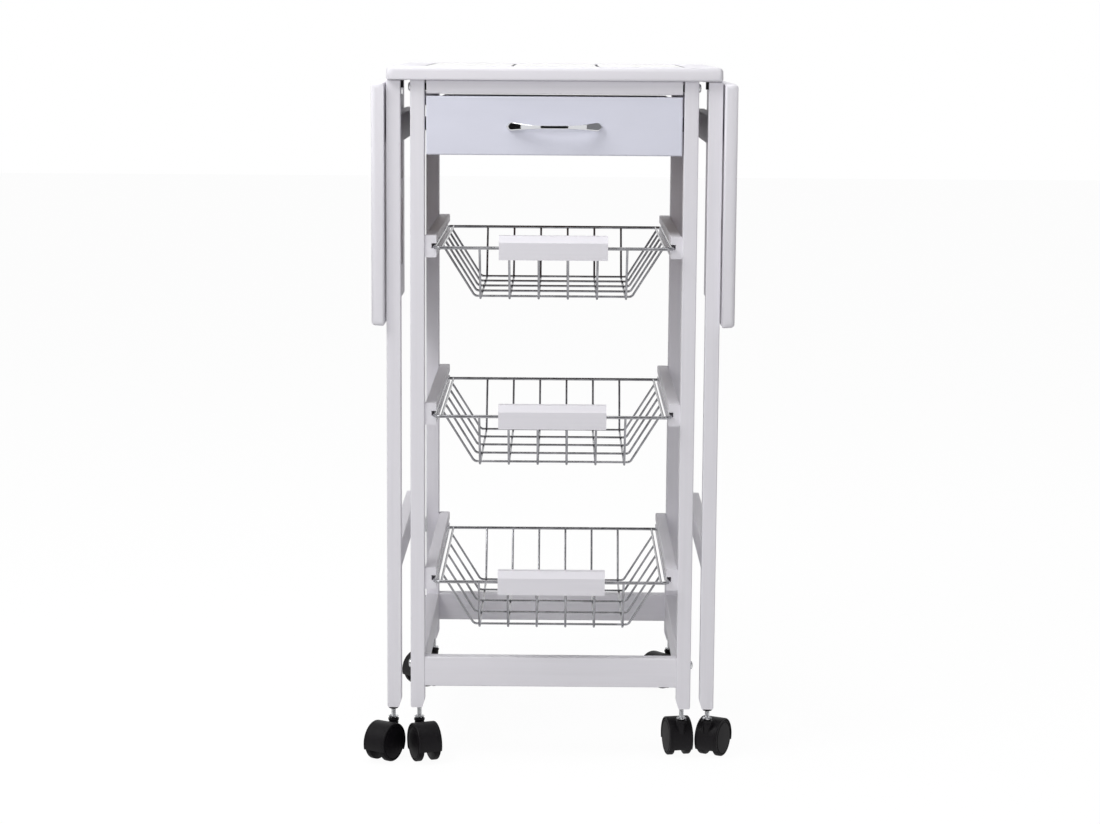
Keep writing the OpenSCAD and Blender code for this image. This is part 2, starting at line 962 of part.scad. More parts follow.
module drawer_panel() {
    play = 0.3;
    color(brown)
        cart()
            translate([-side_in - panel_in + play, side_y, panel_z])
                cube([2 * (side_in + panel_in - play), side_l - side_t + panel_in - play, panel_t]);
}

// Front outline of the handle: a round lobe at each end and a slim middle
module bow_outline() {
    end_x = handle_l / 2 - handle_end_h / 2;
    lobe_x = handle_l / 2 - handle_lobe_l;
    neck_h = handle_h + (handle_end_h - handle_h) * 0.3;
    half = [
        [end_x, handle_end_h / 2], [lobe_x, neck_h / 2], [lobe_x / 2, handle_h / 2]
    ];
    for (s = [-1, 1])
        translate([s * end_x, 0])
            circle(d = handle_end_h);
    polygon(concat(
        [for (i = [0 : 2]) half[i]],
        [for (i = [2 : -1 : 0]) [-half[i][0], half[i][1]]],
        [for (i = [0 : 2]) -half[i]],
        [for (i = [2 : -1 : 0]) [half[i][0], -half[i][1]]]
    ));
}

module drawer_handle() {
    foot = handle_out - bow_rise + 2;
    color(chrome)
        cart()
            translate([0, -half_d, handle_z]) {
                intersection() {
                    translate([0, bow_r - bow_out, -handle_end_h])
                        difference() {
                            cylinder(h = 2 * handle_end_h, r = bow_r + handle_t / 2);
                            translate([0, 0, -1])
                                cylinder(h = 2 * handle_end_h + 2, r = bow_r - handle_t / 2);
                        }
                    rotate([90, 0, 0])
                        linear_extrude(height = handle_out + 1)
                            bow_outline();
                }
                for (s = [-1, 1])
                    translate([s * handle_cc / 2, 0, 0])
                        rotate([90, 0, 0])
                            cylinder(h = foot, d = handle_foot_d);
                for (s = [-1, 1])
                    translate([s * handle_cc / 2, -1, 0])
                        rotate([-90, 0, 0])
                            cylinder(h = front_t + 1, d = screw_d);
            }
}

// A strip on each side whose ends meet the faces of the front and back legs
module drawer_runners() {
    w = side_gap + runner_in + runner_seat;
    x = leg_in + runner_seat - w / 2;
    color(black)
        cart()
            for (s = [-1, 1])
                translate([s * x - w / 2, -half_d + leg_w, runner_z])
                    cube([w, frame_d - 2 * leg_w, runner_h]);
}

// Wire baskets

module basket_slide(z) {
    floor_z = z - rim_wire_d / 2 - groove_gap;
    difference() {
        bar_y(-slide_l / 2, slide_l / 2, leg_in - slide_w / 2, z, slide_w, slide_h, wood_r);
        translate([leg_in - slide_w - 1, -slide_l, floor_z])
            cube([groove_in + 1, 2 * slide_l, groove_h]);
    }
}

module basket_slides() {
    color(paint)
        cart()
            for (side = [0, 1])
                mirror([side, 0, 0])
                    for (i = [0 : 2])
                        basket_slide(basket_z + i * basket_pitch);
}

module basket(z) {
    side_x = rim_x - side_wire_in;
    color(steel)
        cart()
            translate([0, basket_mid, z])
                union() {
                    wire_ring(rim_x, rim_d / 2, rim_bend, rim_wire_d);
                    for (s = [-1, 1])
                        rod([s * side_x, -rim_d / 2, 0], [s * side_x, rim_d / 2, 0], wire_d);
                    for (i = [0 : cross_n - 1])
                        translate([0, (i - (cross_n - 1) / 2) * cross_pitch, -weld])
                            u_wire(side_x, floor_x, basket_h - weld, wire_bend, wire_d);
                    for (i = [0 : long_n - 1])
                        translate([(i - (long_n - 1) / 2) * long_pitch, 0, 0])
                            rotate([0, 0, 90])
                                u_wire(
                                    rim_d / 2, rim_d / 2 - floor_in,
                                    basket_h + wire_d - weld, wire_bend, wire_d
                                );
                }
}

module basket_bottom() {
    basket(basket_z);
}

module basket_middle() {
    basket(basket_z + basket_pitch);
}

module basket_top() {
    basket(basket_z + 2 * basket_pitch);
}

// Wooden bar with a groove in its back for the rim wire
module basket_handle(z) {
    back = rim_wire_d / 2 + 0.4;
    h = bar_h / 2;
    color(paint)
        cart()
            translate([0, rim_y0, z + 1])
                difference() {
                    rotate([90, 0, 90])
                        linear_extrude(height = bar_l, center = true)
                            polygon([
                                [back, -h], [back, h],
                                [back - bar_t + bar_bevel_t, h],
                                [back - bar_t, h - bar_bevel_h], [back - bar_t, -h]
                            ]);
                    translate([-bar_l, 0, -1])
                        rotate([0, 90, 0])
                            cylinder(h = 2 * bar_l, d = rim_wire_d + 2 * pin_gap);
                    translate([-bar_l, 0, -1 - rim_wire_d / 2 - pin_gap])
                        cube([2 * bar_l, bar_t, rim_wire_d + 2 * pin_gap]);
                    for (i = [0 : long_n - 1])
                        translate([(i - (long_n - 1) / 2) * long_pitch - 2, -rim_wire_d / 2, -h - 1])
                            cube([4, bar_t, h]);
                }
}

module handle_bottom() {
    basket_handle(basket_z);
}

module handle_middle() {
    basket_handle(basket_z + basket_pitch);
}

module handle_top() {
    basket_handle(basket_z + 2 * basket_pitch);
}

// Casters: each is drawn trailing towards the front, then turned about its stem

module caster_hood() {
    difference() {
        union() {
            translate([0, -trail, axle_z])
                rotate([0, 90, 0])
                    cylinder(h = hood_w, r = hood_r, center = true);
            translate([0, 0, axle_z + 4])
                cylinder(h = neck_z - axle_z - 4, d1 = neck_low_d, d2 = neck_d);
        }
        for (s = [-1, 1])
            translate([s * (web_t / 2 + hood_w) - hood_w, -trail, axle_z])
                rotate([0, 90, 0])
                    cylinder(h = 2 * hood_w, r = pocket_r);
        rotate([90, 0, 90])
            linear_extrude(height = 2 * hood_w, center = true)
                polygon([
                    [-4 * trail, -hood_w], [2 * trail, -hood_w],
                    [2 * trail, hood_edge(2 * trail)], [-4 * trail, hood_edge(-4 * trail)]
                ]);
        translate([0, -trail, axle_z])
            rotate([0, 90, 0])
                cylinder(h = hood_w, d = axle_d + 2 * pin_gap, center = true);
        translate([0, 0, neck_z - stem_low])
            cylinder(h = stem_low + 1, d = stem_d + 2 * pin_gap);
    }
}

module caster_wheels() {
    r = wheel_d / 2;
    x0 = wheel_x0;
    x1 = wheel_x0 + wheel_w;
    translate([0, -trail, axle_z])
        rotate([0, 90, 0])
            rotate_extrude()
                polygon([
                    [0, -x1 + 0.8], [r - 5, -x1], [r - 1.5, -x1 + 0.6], [r, -x1 + 2.5],
                    [r, -x0 - 0.6], [r - 0.6, -x0], [axle_d / 2, -x0],
                    [axle_d / 2, x0], [r - 0.6, x0], [r, x0 + 0.6],
                    [r, x1 - 2.5], [r - 1.5, x1 - 0.6], [r - 5, x1], [0, x1 - 0.8]
                ]);
}

module caster_stem() {
    r = stem_d / 2;
    z0 = neck_z - stem_low + end_gap;
    z1 = neck_z + end_gap;
    rotate_extrude()
        polygon([
            [0, z0], [r, z0], [r, z1], [collar_d / 2, z1], [collar_d / 2, z1 + 0.8],
            [r + 0.6, z1 + 2.2], [r, z1 + 2.2], [r, leg_z - 1], [collar_d / 2 + 1, leg_z - 1],
            [collar_d / 2 + 1, leg_z], [r, leg_z], [r, leg_z + stem_in], [0, leg_z + stem_in]
        ]);
}

module at_stem(x, y, turn) {
    cart()
        translate([x, y, 0])
            rotate([0, 0, turn])
                children();
}

module caster_stems() {
    color(steel)
        for (sx = [-1, 1])
            for (sy = [-1, 1])
                at_stem(sx * stem_x, sy * leg_y, 0)
                    caster_stem();
}

module stem_gate_left() {
    color(steel)
        at_stem(-stem_gate_x, -leg_y, 0)
            caster_stem();
}

module stem_gate_right() {
    color(steel)
        at_stem(stem_gate_x, -leg_y, 0)
            caster_stem();
}

module hood_gate_left() {
    color(black)
        at_stem(-stem_gate_x, -leg_y, -turn_gate_left)
            caster_hood();
}

module hood_front_left() {
    color(black)
        at_stem(-stem_x, -leg_y, turn_left)
            caster_hood();
}

module hood_front_right() {
    color(black)
        at_stem(stem_x, -leg_y, 180 + turn_right)
            caster_hood();
}

module hood_gate_right() {
    color(black)
        at_stem(stem_gate_x, -leg_y, 180 - turn_gate_right)
            caster_hood();
}

module hood_back_left() {
    color(black)
        at_stem(-stem_x, leg_y, -turn_back)
            caster_hood();
}

module hood_back_right() {
    color(black)
        at_stem(stem_x, leg_y, -turn_back)
            caster_hood();
}

module wheels_gate_left() {
    color(black)
        at_stem(-stem_gate_x, -leg_y, -turn_gate_left)
            caster_wheels();
}

module wheels_front_left() {
    color(black)
        at_stem(-stem_x, -leg_y, turn_left)
            caster_wheels();
}

module wheels_front_right() {
    color(black)
        at_stem(stem_x, -leg_y, 180 + turn_right)
            caster_wheels();
}

module wheels_gate_right() {
    color(black)
        at_stem(stem_gate_x, -leg_y, 180 - turn_gate_right)
            caster_wheels();
}

module wheels_back_left() {
    color(black)
        at_stem(-stem_x, leg_y, -turn_back)
            caster_wheels();
}

module wheels_back_right() {
    color(black)
        at_stem(stem_x, leg_y, -turn_back)
            caster_wheels();
}

// What is drawn

top_frame();
top_board();
top_grout();
top_tiles();
leaf_frame_left();
leaf_board_left();
leaf_grout_left();
leaf_tiles_left();
leaf_frame_right();
leaf_board_right();
leaf_grout_right();
leaf_tiles_right();
leaf_hinge_fixed();
leaf_hinge_left();
leaf_hinge_right();
leg_front_left();
leg_front_right();
leg_back_left();
leg_back_right();
rails_cross();
rails_side();
apron_front();
apron_back();
apron_washers();
frame_bolts();
gate_leg_left();
gate_rails_left();
gate_pad_left();
gate_leg_right();
gate_rails_right();
gate_pad_right();
gate_pivots();
drawer_front();
drawer_box();
drawer_panel();
drawer_handle();
drawer_runners();
basket_slides();
basket_top();
basket_middle();
basket_bottom();
handle_top();
handle_middle();
handle_bottom();
caster_stems();
stem_gate_left();
stem_gate_right();
hood_gate_left();
hood_front_left();
hood_front_right();
hood_gate_right();
hood_back_left();
hood_back_right();
wheels_gate_left();
wheels_front_left();
wheels_front_right();
wheels_gate_right();
wheels_back_left();
wheels_back_right();
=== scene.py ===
"""Looks of a folding kitchen cart with a tiled top, a drawer and three wire baskets.

The cart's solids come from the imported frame. This file gives them their finishes,
adds the pieces that need a finer form, and sets the studio and the camera.
"""

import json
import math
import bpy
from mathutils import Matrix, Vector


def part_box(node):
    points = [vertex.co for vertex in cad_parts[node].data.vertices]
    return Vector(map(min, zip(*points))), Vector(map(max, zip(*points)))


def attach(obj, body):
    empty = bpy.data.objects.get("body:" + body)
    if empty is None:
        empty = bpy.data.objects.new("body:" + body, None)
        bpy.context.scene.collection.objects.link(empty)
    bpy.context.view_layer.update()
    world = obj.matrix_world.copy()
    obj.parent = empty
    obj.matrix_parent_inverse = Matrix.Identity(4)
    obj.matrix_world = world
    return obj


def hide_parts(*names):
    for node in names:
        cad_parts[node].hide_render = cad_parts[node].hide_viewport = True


bl_info = {
    "name": "Folding Kitchen Cart",
    "version": (1, 0, 0),
    "blender": (4, 5, 0),
    "location": "View3D > Sidebar > Kitchen Cart",
    "description": "Dresses the solids of a folding kitchen cart in lacquer, tile, wire and nylon",
    "category": "Object",
}

import bmesh
import bpy
from mathutils import Matrix, Vector

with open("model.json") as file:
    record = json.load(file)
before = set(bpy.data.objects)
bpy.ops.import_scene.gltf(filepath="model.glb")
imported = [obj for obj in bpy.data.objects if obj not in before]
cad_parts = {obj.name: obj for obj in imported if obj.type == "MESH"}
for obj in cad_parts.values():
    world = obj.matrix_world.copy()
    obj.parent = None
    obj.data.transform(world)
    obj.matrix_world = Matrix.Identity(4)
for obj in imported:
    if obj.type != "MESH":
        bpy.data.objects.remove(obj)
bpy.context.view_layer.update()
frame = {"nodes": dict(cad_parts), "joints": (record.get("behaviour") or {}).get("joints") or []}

MM = 0.001
X, Y, Z = Vector((1, 0, 0)), Vector((0, 1, 0)), Vector((0, 0, 1))
ORIGIN = Vector((0, 0, 0))
# Vertices closer than this are merged
MERGE = 2e-6
# Points of a turned shape closer than this are the same point
SAME = 1e-6
# Edges that bend by more degrees than this stay sharp
SHARP_ANGLE = 32.0

# Radius of the worktop's and the leaves' edges and corners in the frame's solids
PANEL_EDGE = 3.0 * MM
PANEL_CORNER = 5.0 * MM
# Rounding error of a point that should lie on the panel's face
PANEL_SLACK = 1e-5

SLAB_HIGH = 15 * MM
HINGE_PLATE = 1.2 * MM

# A caster is drawn round its stem, with its axle in front of it
WHEEL_RADIUS = 21 * MM
AXLE = Vector((0, -18 * MM, WHEEL_RADIUS))
AXLE_BORE = 2.6 * MM
CASTERS = ("gate_left", "front_left", "front_right", "gate_right", "back_left", "back_right")


def linear(hex_colour):
    """Linear red, green, blue and alpha of an sRGB colour such as #E6E6EA."""
    parts = [int(hex_colour[i:i + 2], 16) / 255 for i in (1, 3, 5)]
    return [p / 12.92 if p <= 0.04045 else ((p + 0.055) / 1.055) ** 2.4 for p in parts] + [1.0]


def joint(name):
    for entry in frame["joints"]:
        if entry["name"] == name:
            return entry
    raise RuntimeError("the frame has no joint named " + name)


# Sizes and colours that a user may change


def length(name, what, default, low=0.0, high=0.2):
    return bpy.props.FloatProperty(
        name=name, description=what, default=default, min=low, max=high,
        unit="LENGTH", subtype="DISTANCE", precision=4,
    )


def colour(name, what, default):
    return bpy.props.FloatVectorProperty(
        name=name, description=what, default=linear(default)[:3],
        subtype="COLOR", size=3, min=0.0, max=1.0,
    )


class CartSizes(bpy.types.PropertyGroup):
    panel_edge: length("Panel edge", "Radius of the round edges of worktop and leaves", 5.4 * MM)
    tile_edge: length("Tile edge", "Radius of the soft glazed edge of a tile", 1.3 * MM)
    tile_crown: length("Tile crown", "How much higher a tile's middle is than its edge", 0.25 * MM)
    bow_middle: length("Bow middle", "Height of the drawer handle's bow in its middle", 3.6 * MM)
    bow_end: length("Bow end", "Height of the drawer handle's bow at its ends", 9.5 * MM)
    bow_depth: length("Bow depth", "Front to back thickness of the bow", 4.0 * MM)
    hood_edge: length("Hood edge", "Radius of the rolled side edges of a caster hood", 1.2 * MM)
    tread_edge: length("Tread edge", "Radius of the shoulder of a caster wheel's tread", 1.6 * MM)
    thread_pitch: length("Thread pitch", "Distance between two threads of a caster stem", 1.0 * MM)
    crown_width: length("Crown washer", "Width of the toothed washer on a neck", 10.4 * MM)
    screw_head: length("Screw head", "Width of the small screws in the leaf hinges", 5.6 * MM)


class CartColours(bpy.types.PropertyGroup):
    lacquer: colour("Lacquer", "White lacquer on the wooden pieces", "#EDEBF1")
    front: colour("Drawer front", "White lacquer on the drawer front", "#E5E6F3")
    tile: colour("Tile glaze", "Glaze of the tiles", "#EFEDE8")
    grout: colour("Grout", "Cement grout between the tiles", "#55555A")
    board: colour("Hardboard", "Raw hardboard under the tiles and in the drawer", "#7A5232")
    zinc: colour("Zinc", "Zinc plating of hinges, brackets and bolts", "#D9DADC")
    wire: colour("Wire", "Plating of the basket wires", "#A6A6AA")
    chrome: colour("Chrome", "Plating of the drawer handle", "#DADBDE")
    nylon: colour("Nylon", "Black nylon of the casters", "#110F12")


# Materials


def add(tree, kind, inputs=None, **settings):
    """Adds a node, sets its settings, and sets or links its inputs."""
    made = tree.nodes.new(kind)
    for name, value in settings.items():
        setattr(made, name, value)
    for name, value in (inputs or {}).items():
        if isinstance(value, bpy.types.NodeSocket):
            tree.links.new(value, made.inputs[name])
        else:
            made.inputs[name].default_value = value
    return made


def start_material(name):
    material = bpy.data.materials.new(name)
    material.use_nodes = True
    material.node_tree.nodes.clear()
    return material, material.node_tree


def close_material(material, shader):
    add(material.node_tree, "ShaderNodeOutputMaterial", {"Surface": shader.outputs[0]})
    return material


def surface(material, inputs):
    """Gives a material a Principled shader with those inputs."""
    return close_material(
        material, add(material.node_tree, "ShaderNodeBsdfPrincipled", inputs),
    )


def shade(rgb, share):
    """A colour made lighter or darker by a share."""
    return [min(1.0, c * share) for c in list(rgb)[:3]] + [1.0]


def pattern(tree, size_mm, detail=3.0, roughness=0.5, distortion=0.0):
    """Noise on Object coordinates whose grains have the given sizes along X, Y and Z."""
    place = add(tree, "ShaderNodeTexCoord").outputs["Object"]
    scaled = add(tree, "ShaderNodeMapping", {
        "Vector": place, "Scale": [1 / (s * MM) for s in size_mm],
    })
    return add(tree, "ShaderNodeTexNoise", {
        "Vector": scaled.outputs[0], "Scale": 1.0, "Detail": detail,
        "Roughness": roughness, "Distortion": distortion,
    }).outputs["Fac"]


def ramp(tree, value, stops):
    """Colour ramp through (place, colour) stops."""
    made = add(tree, "ShaderNodeValToRGB", {"Fac": value})
    band = made.color_ramp
    band.elements[0].position, band.elements[0].color = stops[0]
    band.elements[1].position, band.elements[1].color = stops[-1]
    for place, rgba in stops[1:-1]:
        band.elements.new(place).color = rgba
    return made.outputs["Color"]


def bump(tree, height, distance_mm, strength=1.0, under=None):
    inputs = {"Height": height, "Distance": distance_mm * MM, "Strength": strength}
    if under is not None:
        inputs["Normal"] = under
    return add(tree, "ShaderNodeBump", inputs).outputs["Normal"]


def between(tree, value, low, high):
    return add(tree, "ShaderNodeMapRange", {
        "Value": value, "To Min": low, "To Max": high,
    }).outputs["Result"]


def lacquered_pine(base, along):
    """Pine under sprayed white lacquer. The film hides the colour of the wood, but its
    grain still shows as faint long ripples, with the fine orange peel of the spray gun."""
    material, tree = start_material("lacquered_pine_along_" + "xyz"[along])
    # Growth rings about 5 mm apart run 180 mm along the piece
    grain_size = [5.0, 5.0, 5.0]
    grain_size[along] = 180.0
    grain = pattern(tree, grain_size, detail=4.0, distortion=0.4)
    # Real orange peel is near 0.8 mm, drawn at 1.6 mm so that it shows
    peel = pattern(tree, (1.6, 1.6, 1.6), detail=1.0)
    # Handling leaves soft patches a hand wide
    patches = pattern(tree, (70.0, 70.0, 70.0), detail=2.0)
    tint = ramp(tree, grain, [
        (0.30, shade(base, 0.975)), (0.52, shade(base, 1.0)), (0.78, shade(base, 1.01)),
    ])
    normal = bump(tree, grain, 0.05, 0.35)
    normal = bump(tree, peel, 0.02, 0.3, normal)
    return surface(material, {
        "Base Color": tint, "Roughness": between(tree, patches, 0.42, 0.58),
        "IOR": 1.5, "Specular IOR Level": 0.36, "Normal": normal,
    })


def lacquered_fibreboard(base):
    """Fibreboard under sprayed white lacquer: no grain at all, only the soft orange peel
    of the spray and slow waves from the sanding."""
    material, tree = start_material("lacquered_fibreboard")
    # Real orange peel is near 0.8 mm, drawn at 1.8 mm so that it shows
    peel = pattern(tree, (1.8, 1.8, 1.8), detail=1.0)
    waves = pattern(tree, (60.0, 60.0, 25.0), detail=2.0)
    tint = ramp(tree, waves, [(0.30, shade(base, 0.985)), (0.70, shade(base, 1.01))])
    normal = bump(tree, waves, 0.10, 0.4)
    normal = bump(tree, peel, 0.02, 0.3, normal)
    return surface(material, {
        "Base Color": tint, "Roughness": between(tree, waves, 0.38, 0.48),
        "IOR": 1.5, "Specular IOR Level": 0.40, "Normal": normal,
    })


def glazed_stoneware(base):
    """Stoneware under a clear glossy glaze, which pools in slow waves and carries a few
    pinholes. Each tile has its own slight tone."""
    material, tree = start_material("glazed_stoneware")
    tone = add(tree, "ShaderNodeAttribute", attribute_name="tile_tone").outputs["Fac"]
    # Glaze waves about 28 mm long
    waves = pattern(tree, (28.0, 28.0, 28.0), detail=2.0)
    pinholes = pattern(tree, (1.1, 1.1, 1.1), detail=0.0)
    tint = ramp(tree, tone, [(0.0, shade(base, 0.965)), (1.0, shade(base, 1.02))])
    specks = ramp(tree, pinholes, [(0.0, [0.55, 0.52, 0.48, 1.0]), (0.13, [1.0, 1.0, 1.0, 1.0])])
    # Of a Mix node set to colours, 0 is the factor and 6 and 7 are its two colours
    mixed = add(
        tree, "ShaderNodeMix", {6: tint, 7: specks, 0: 0.6},
        data_type="RGBA", blend_type="MULTIPLY",
    )
    return surface(material, {
        "Base Color": mixed.outputs[2], "Roughness": between(tree, waves, 0.07, 0.15),
        "IOR": 1.52, "Coat Weight": 0.5, "Coat Roughness": 0.04,
        "Normal": bump(tree, waves, 0.5, 0.22),
    })


def cement_grout(base):
    """Cement grout wiped flush by hand: matt, sandy and a little patchy."""
    material, tree = start_material("cement_grout")
    sand = pattern(tree, (0.5, 0.5, 0.5), detail=2.0)
    patches = pattern(tree, (22.0, 22.0, 22.0), detail=3.0)
    tint = ramp(tree, patches, [(0.3, shade(base, 0.8)), (0.7, shade(base, 1.25))])
    return surface(material, {
        "Base Color": tint, "Roughness": 0.9, "Normal": bump(tree, sand, 0.2, 0.6),
    })


def pressed_hardboard(base):
    """Raw hardboard: brown pressed fibres of mixed tone, a few millimetres long."""
    material, tree = start_material("pressed_hardboard")
    fibres = pattern(tree, (0.9, 3.2, 0.9), detail=6.0, roughness=0.7, distortion=1.2)
    cross = pattern(tree, (3.2, 0.9, 3.2), detail=6.0, roughness=0.7, distortion=1.2)
    blend = add(tree, "ShaderNodeMath", {0: fibres, 1: cross}, operation="MAXIMUM").outputs[0]
    stain = pattern(tree, (60.0, 60.0, 60.0), detail=2.0)
    tint = ramp(tree, blend, [
        (0.40, shade(base, 0.55)), (0.58, shade(base, 1.0)), (0.76, shade(base, 1.5)),
    ])
    return surface(material, {
        "Base Color": tint, "Roughness": between(tree, stain, 0.62, 0.86),
        "Normal": bump(tree, blend, 0.25, 0.5),
    })


def zinc_plated_steel(base):
    """Pressed steel with bright zinc plating: faint crystals and rolling marks."""
    material, tree = start_material("zinc_plated_steel")
    crystals = pattern(tree, (2.2, 2.2, 2.2), detail=2.0)
    marks = pattern(tree, (0.4, 12.0, 0.4), detail=2.0)
    tint = ramp(tree, crystals, [(0.35, shade(base, 0.82)), (0.65, shade(base, 1.05))])
    return surface(material, {
        "Base Color": tint, "Metallic": 1.0, "Roughness": between(tree, marks, 0.16, 0.30),
        "Normal": bump(tree, marks, 0.03, 0.3),
    })


def nickel_plated_wire(base):
    """Drawn and welded steel wire with thin nickel plating: a soft shine with darker, duller
    clouds here and there, where the plating is thin."""
    material, tree = start_material("nickel_plated_wire")
    drawn = pattern(tree, (0.35, 0.35, 0.35), detail=1.0)
    cloud = pattern(tree, (16.0, 16.0, 16.0), detail=3.0)
    tint = ramp(tree, cloud, [(0.30, shade(base, 0.66)), (0.62, shade(base, 1.05))])
    return surface(material, {
        "Base Color": tint, "Metallic": 1.0, "Roughness": between(tree, cloud, 0.30, 0.17),
        "Normal": bump(tree, drawn, 0.02, 0.25),
    })


def polished_chrome(base):
    """Die-cast zinc, buffed and chromed: a mirror with a few dull finger marks."""
    material, tree = start_material("polished_chrome")
    smears = pattern(tree, (9.0, 9.0, 9.0), detail=3.0, distortion=0.8)
    return surface(material, {
        "Base Color": ramp(tree, smears, [(0.3, shade(base, 0.96)), (0.7, shade(base, 1.0))]),
        "Metallic": 1.0, "Roughness": between(tree, smears, 0.03, 0.09),
    })


def moulded_nylon(base, name, gloss, scuffed):
    """Glass-filled nylon from a mould: black, with a fine spark-eroded grain that weakens
    its shine. Treads are paler and duller where they have rolled over dust."""
    material, tree = start_material(name)
    # The mould's grain is near 0.3 mm, drawn at 0.7 mm so that it shows
    grain = pattern(tree, (0.7, 0.7, 0.7), detail=1.0)
    dust = pattern(tree, (5.0, 5.0, 5.0), detail=4.0, roughness=0.6)
    top = 1.9 if scuffed else 1.5
    tint = ramp(tree, dust, [(0.45, shade(base, 0.9)), (0.80, shade(base, top))])
    return surface(material, {
        "Base Color": tint, "Roughness": between(tree, dust, gloss, gloss + 0.14),
        "IOR": 1.35, "Specular IOR Level": 0.13 if scuffed else 0.32,
        "Normal": bump(tree, grain, 0.04, 0.35),
    })


# Meshes


def merged_copy(node):
    """Bmesh copy of a solid of the frame, with its double vertices merged."""
    copy = bmesh.new()
    copy.from_mesh(frame["nodes"][node].data)
    bmesh.ops.remove_doubles(copy, verts=copy.verts[:], dist=MERGE)
    return copy


def as_object(mesh_data, name, material):
    """Makes an object of the scene from a bmesh, and frees that."""
    mesh = bpy.data.meshes.new(name)
    mesh_data.to_mesh(mesh)
    mesh_data.free()
    mesh.materials.append(material)
    made = bpy.data.objects.new(name, mesh)
    bpy.context.scene.collection.objects.link(made)
    return made


def finish_piece(mesh_data, name, body, material, nodes=(), sharp=SHARP_ANGLE):
    """Closes a bmesh into a named piece that rides on a body."""
    bmesh.ops.remove_doubles(mesh_data, verts=mesh_data.verts[:], dist=MERGE)
    bmesh.ops.recalc_face_normals(mesh_data, faces=mesh_data.faces[:])
    piece = as_object(mesh_data, name, material)
    piece.data.shade_smooth()
    piece.data.set_sharp_from_angle(angle=math.radians(sharp))
    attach(piece, body)
    if nodes:
        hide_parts(*nodes)


def dress(node, material):
    """Gives a solid of the frame its finish and smooths the facets of its curves."""
    solid = frame["nodes"][node]
    solid.data.materials.clear()
    solid.data.materials.append(material)
    solid.data.shade_smooth()
    weld = solid.modifiers.new("merge_facets", "WELD")
    weld.merge_threshold = MERGE
    split = solid.modifiers.new("keep_edges", "EDGE_SPLIT")
    split.split_angle = math.radians(SHARP_ANGLE)


def turn(mesh_data, profile, centre, axis, steps=32, angle=math.tau):
    """Spins (distance along the axis, radius) points round the axis. Returns new vertices."""
    axis = Vector(axis).normalized()
    out = axis.orthogonal().normalized()
    before = set(mesh_data.verts)
    verts = [mesh_data.verts.new(centre + axis * a + out * r) for a, r in profile]
    edges = [mesh_data.edges.new(pair) for pair in zip(verts, verts[1:])]
    bmesh.ops.spin(
        mesh_data, geom=verts + edges, cent=centre, axis=axis, dvec=(0, 0, 0),
        angle=angle, steps=steps, use_merge=angle > 6.28, use_duplicate=False,
    )
    return [v for v in mesh_data.verts if v not in before]


def rolled_edge(side, rim, radius):
    """Points of a quarter round between a rim and a side, as (distance, radius)."""
    return [
        (side - radius + radius * math.sin(a), rim - radius + radius * math.cos(a))
        for a in [math.radians(d) for d in (0, 22.5, 45, 67.5, 90)]
    ]


def socket_screw(mesh_data, seat, axis, width, height, points, steps=24):
    """Domed screw head on a seat, with a recess of that many points in its top."""
    r = width / 2
    profile = [
        (0.0, 0.0), (0.0, r), (0.30 * height, r), (0.62 * height, 0.93 * r),
        (0.88 * height, 0.72 * r), (height, 0.46 * r),
    ]
    before = set(mesh_data.verts)
    new = turn(mesh_data, profile, seat, axis, steps)
    bmesh.ops.remove_doubles(mesh_data, verts=new, dist=SAME)
    axis = Vector(axis).normalized()
    rim = [
        e for e in mesh_data.edges
        if e.is_boundary and e.verts[0] not in before
        and all(abs((v.co - seat).dot(axis) - height) < SAME for v in e.verts)
    ]
    recess = bmesh.ops.extrude_edge_only(mesh_data, edges=rim)["geom"]
    low = [v for v in recess if isinstance(v, bmesh.types.BMVert)]
    bmesh.ops.translate(mesh_data, verts=low, vec=-axis * 0.55 * height)
    side = axis.orthogonal().normalized()
    other = axis.cross(side)
    for v in low:
        flat = v.co - seat
        turned = math.atan2(flat.dot(other), flat.dot(side))
        # The recess's floor is drawn in between its points
        share = 0.80 + 0.20 * math.cos(points * turned)
        up = axis * flat.dot(axis)
        v.co = seat + up + (flat - up) * share
    loop = [e for e in recess if isinstance(e, bmesh.types.BMEdge) and e.is_boundary]
    bmesh.ops.contextual_create(mesh_data, geom=loop)


def islands(node):
    """Low and high corners of each separate solid in a node."""
    merged = merged_copy(node)
    todo = set(merged.verts)
    boxes = []
    while todo:
        stack = [todo.pop()]
        found = list(stack)
        while stack:
            for edge in stack.pop().link_edges:
                for v in edge.verts:
                    if v in todo:
                        todo.discard(v)
                        stack.append(v)
                        found.append(v)
        low = Vector([min(v.co[i] for v in found) for i in range(3)])
        high = Vector([max(v.co[i] for v in found) for i in range(3)])
        boxes.append((low, high))
    merged.free()
    return sorted(boxes, key=lambda b: (round(b[0].x, 5), round(b[0].y, 5), round(b[0].z, 5)))


# Wood, tiles and boards

WOOD = {
    "rails_cross": 0, "rails_side": 1, "apron_front": 0, "apron_back": 0,
    "leg_front_left": 2, "leg_front_right": 2,
    "leg_back_left": 2, "leg_back_right": 2, "gate_leg_left": 2, "gate_leg_right": 2,
    "gate_rails_left": 1, "gate_rails_right": 1, "drawer_box": 1,
    "basket_slides": 1, "handle_top": 0, "handle_middle": 0, "handle_bottom": 0,
}


class CART_OT_lacquer_wood(bpy.types.Operator):
    """Gives every wooden piece its white lacquer, with the grain along the piece"""
    bl_idname = "cart.lacquer_wood"
    bl_label = "Lacquer the Wood"

    def execute(self, context):
        base = context.scene.cart_colours.lacquer
        finishes = [lacquered_pine(base, along) for along in range(3)]
        for node, along in WOOD.items():
            dress(node, finishes[along])
        dress("drawer_front", lacquered_fibreboard(context.scene.cart_colours.front))
        return {"FINISHED"}


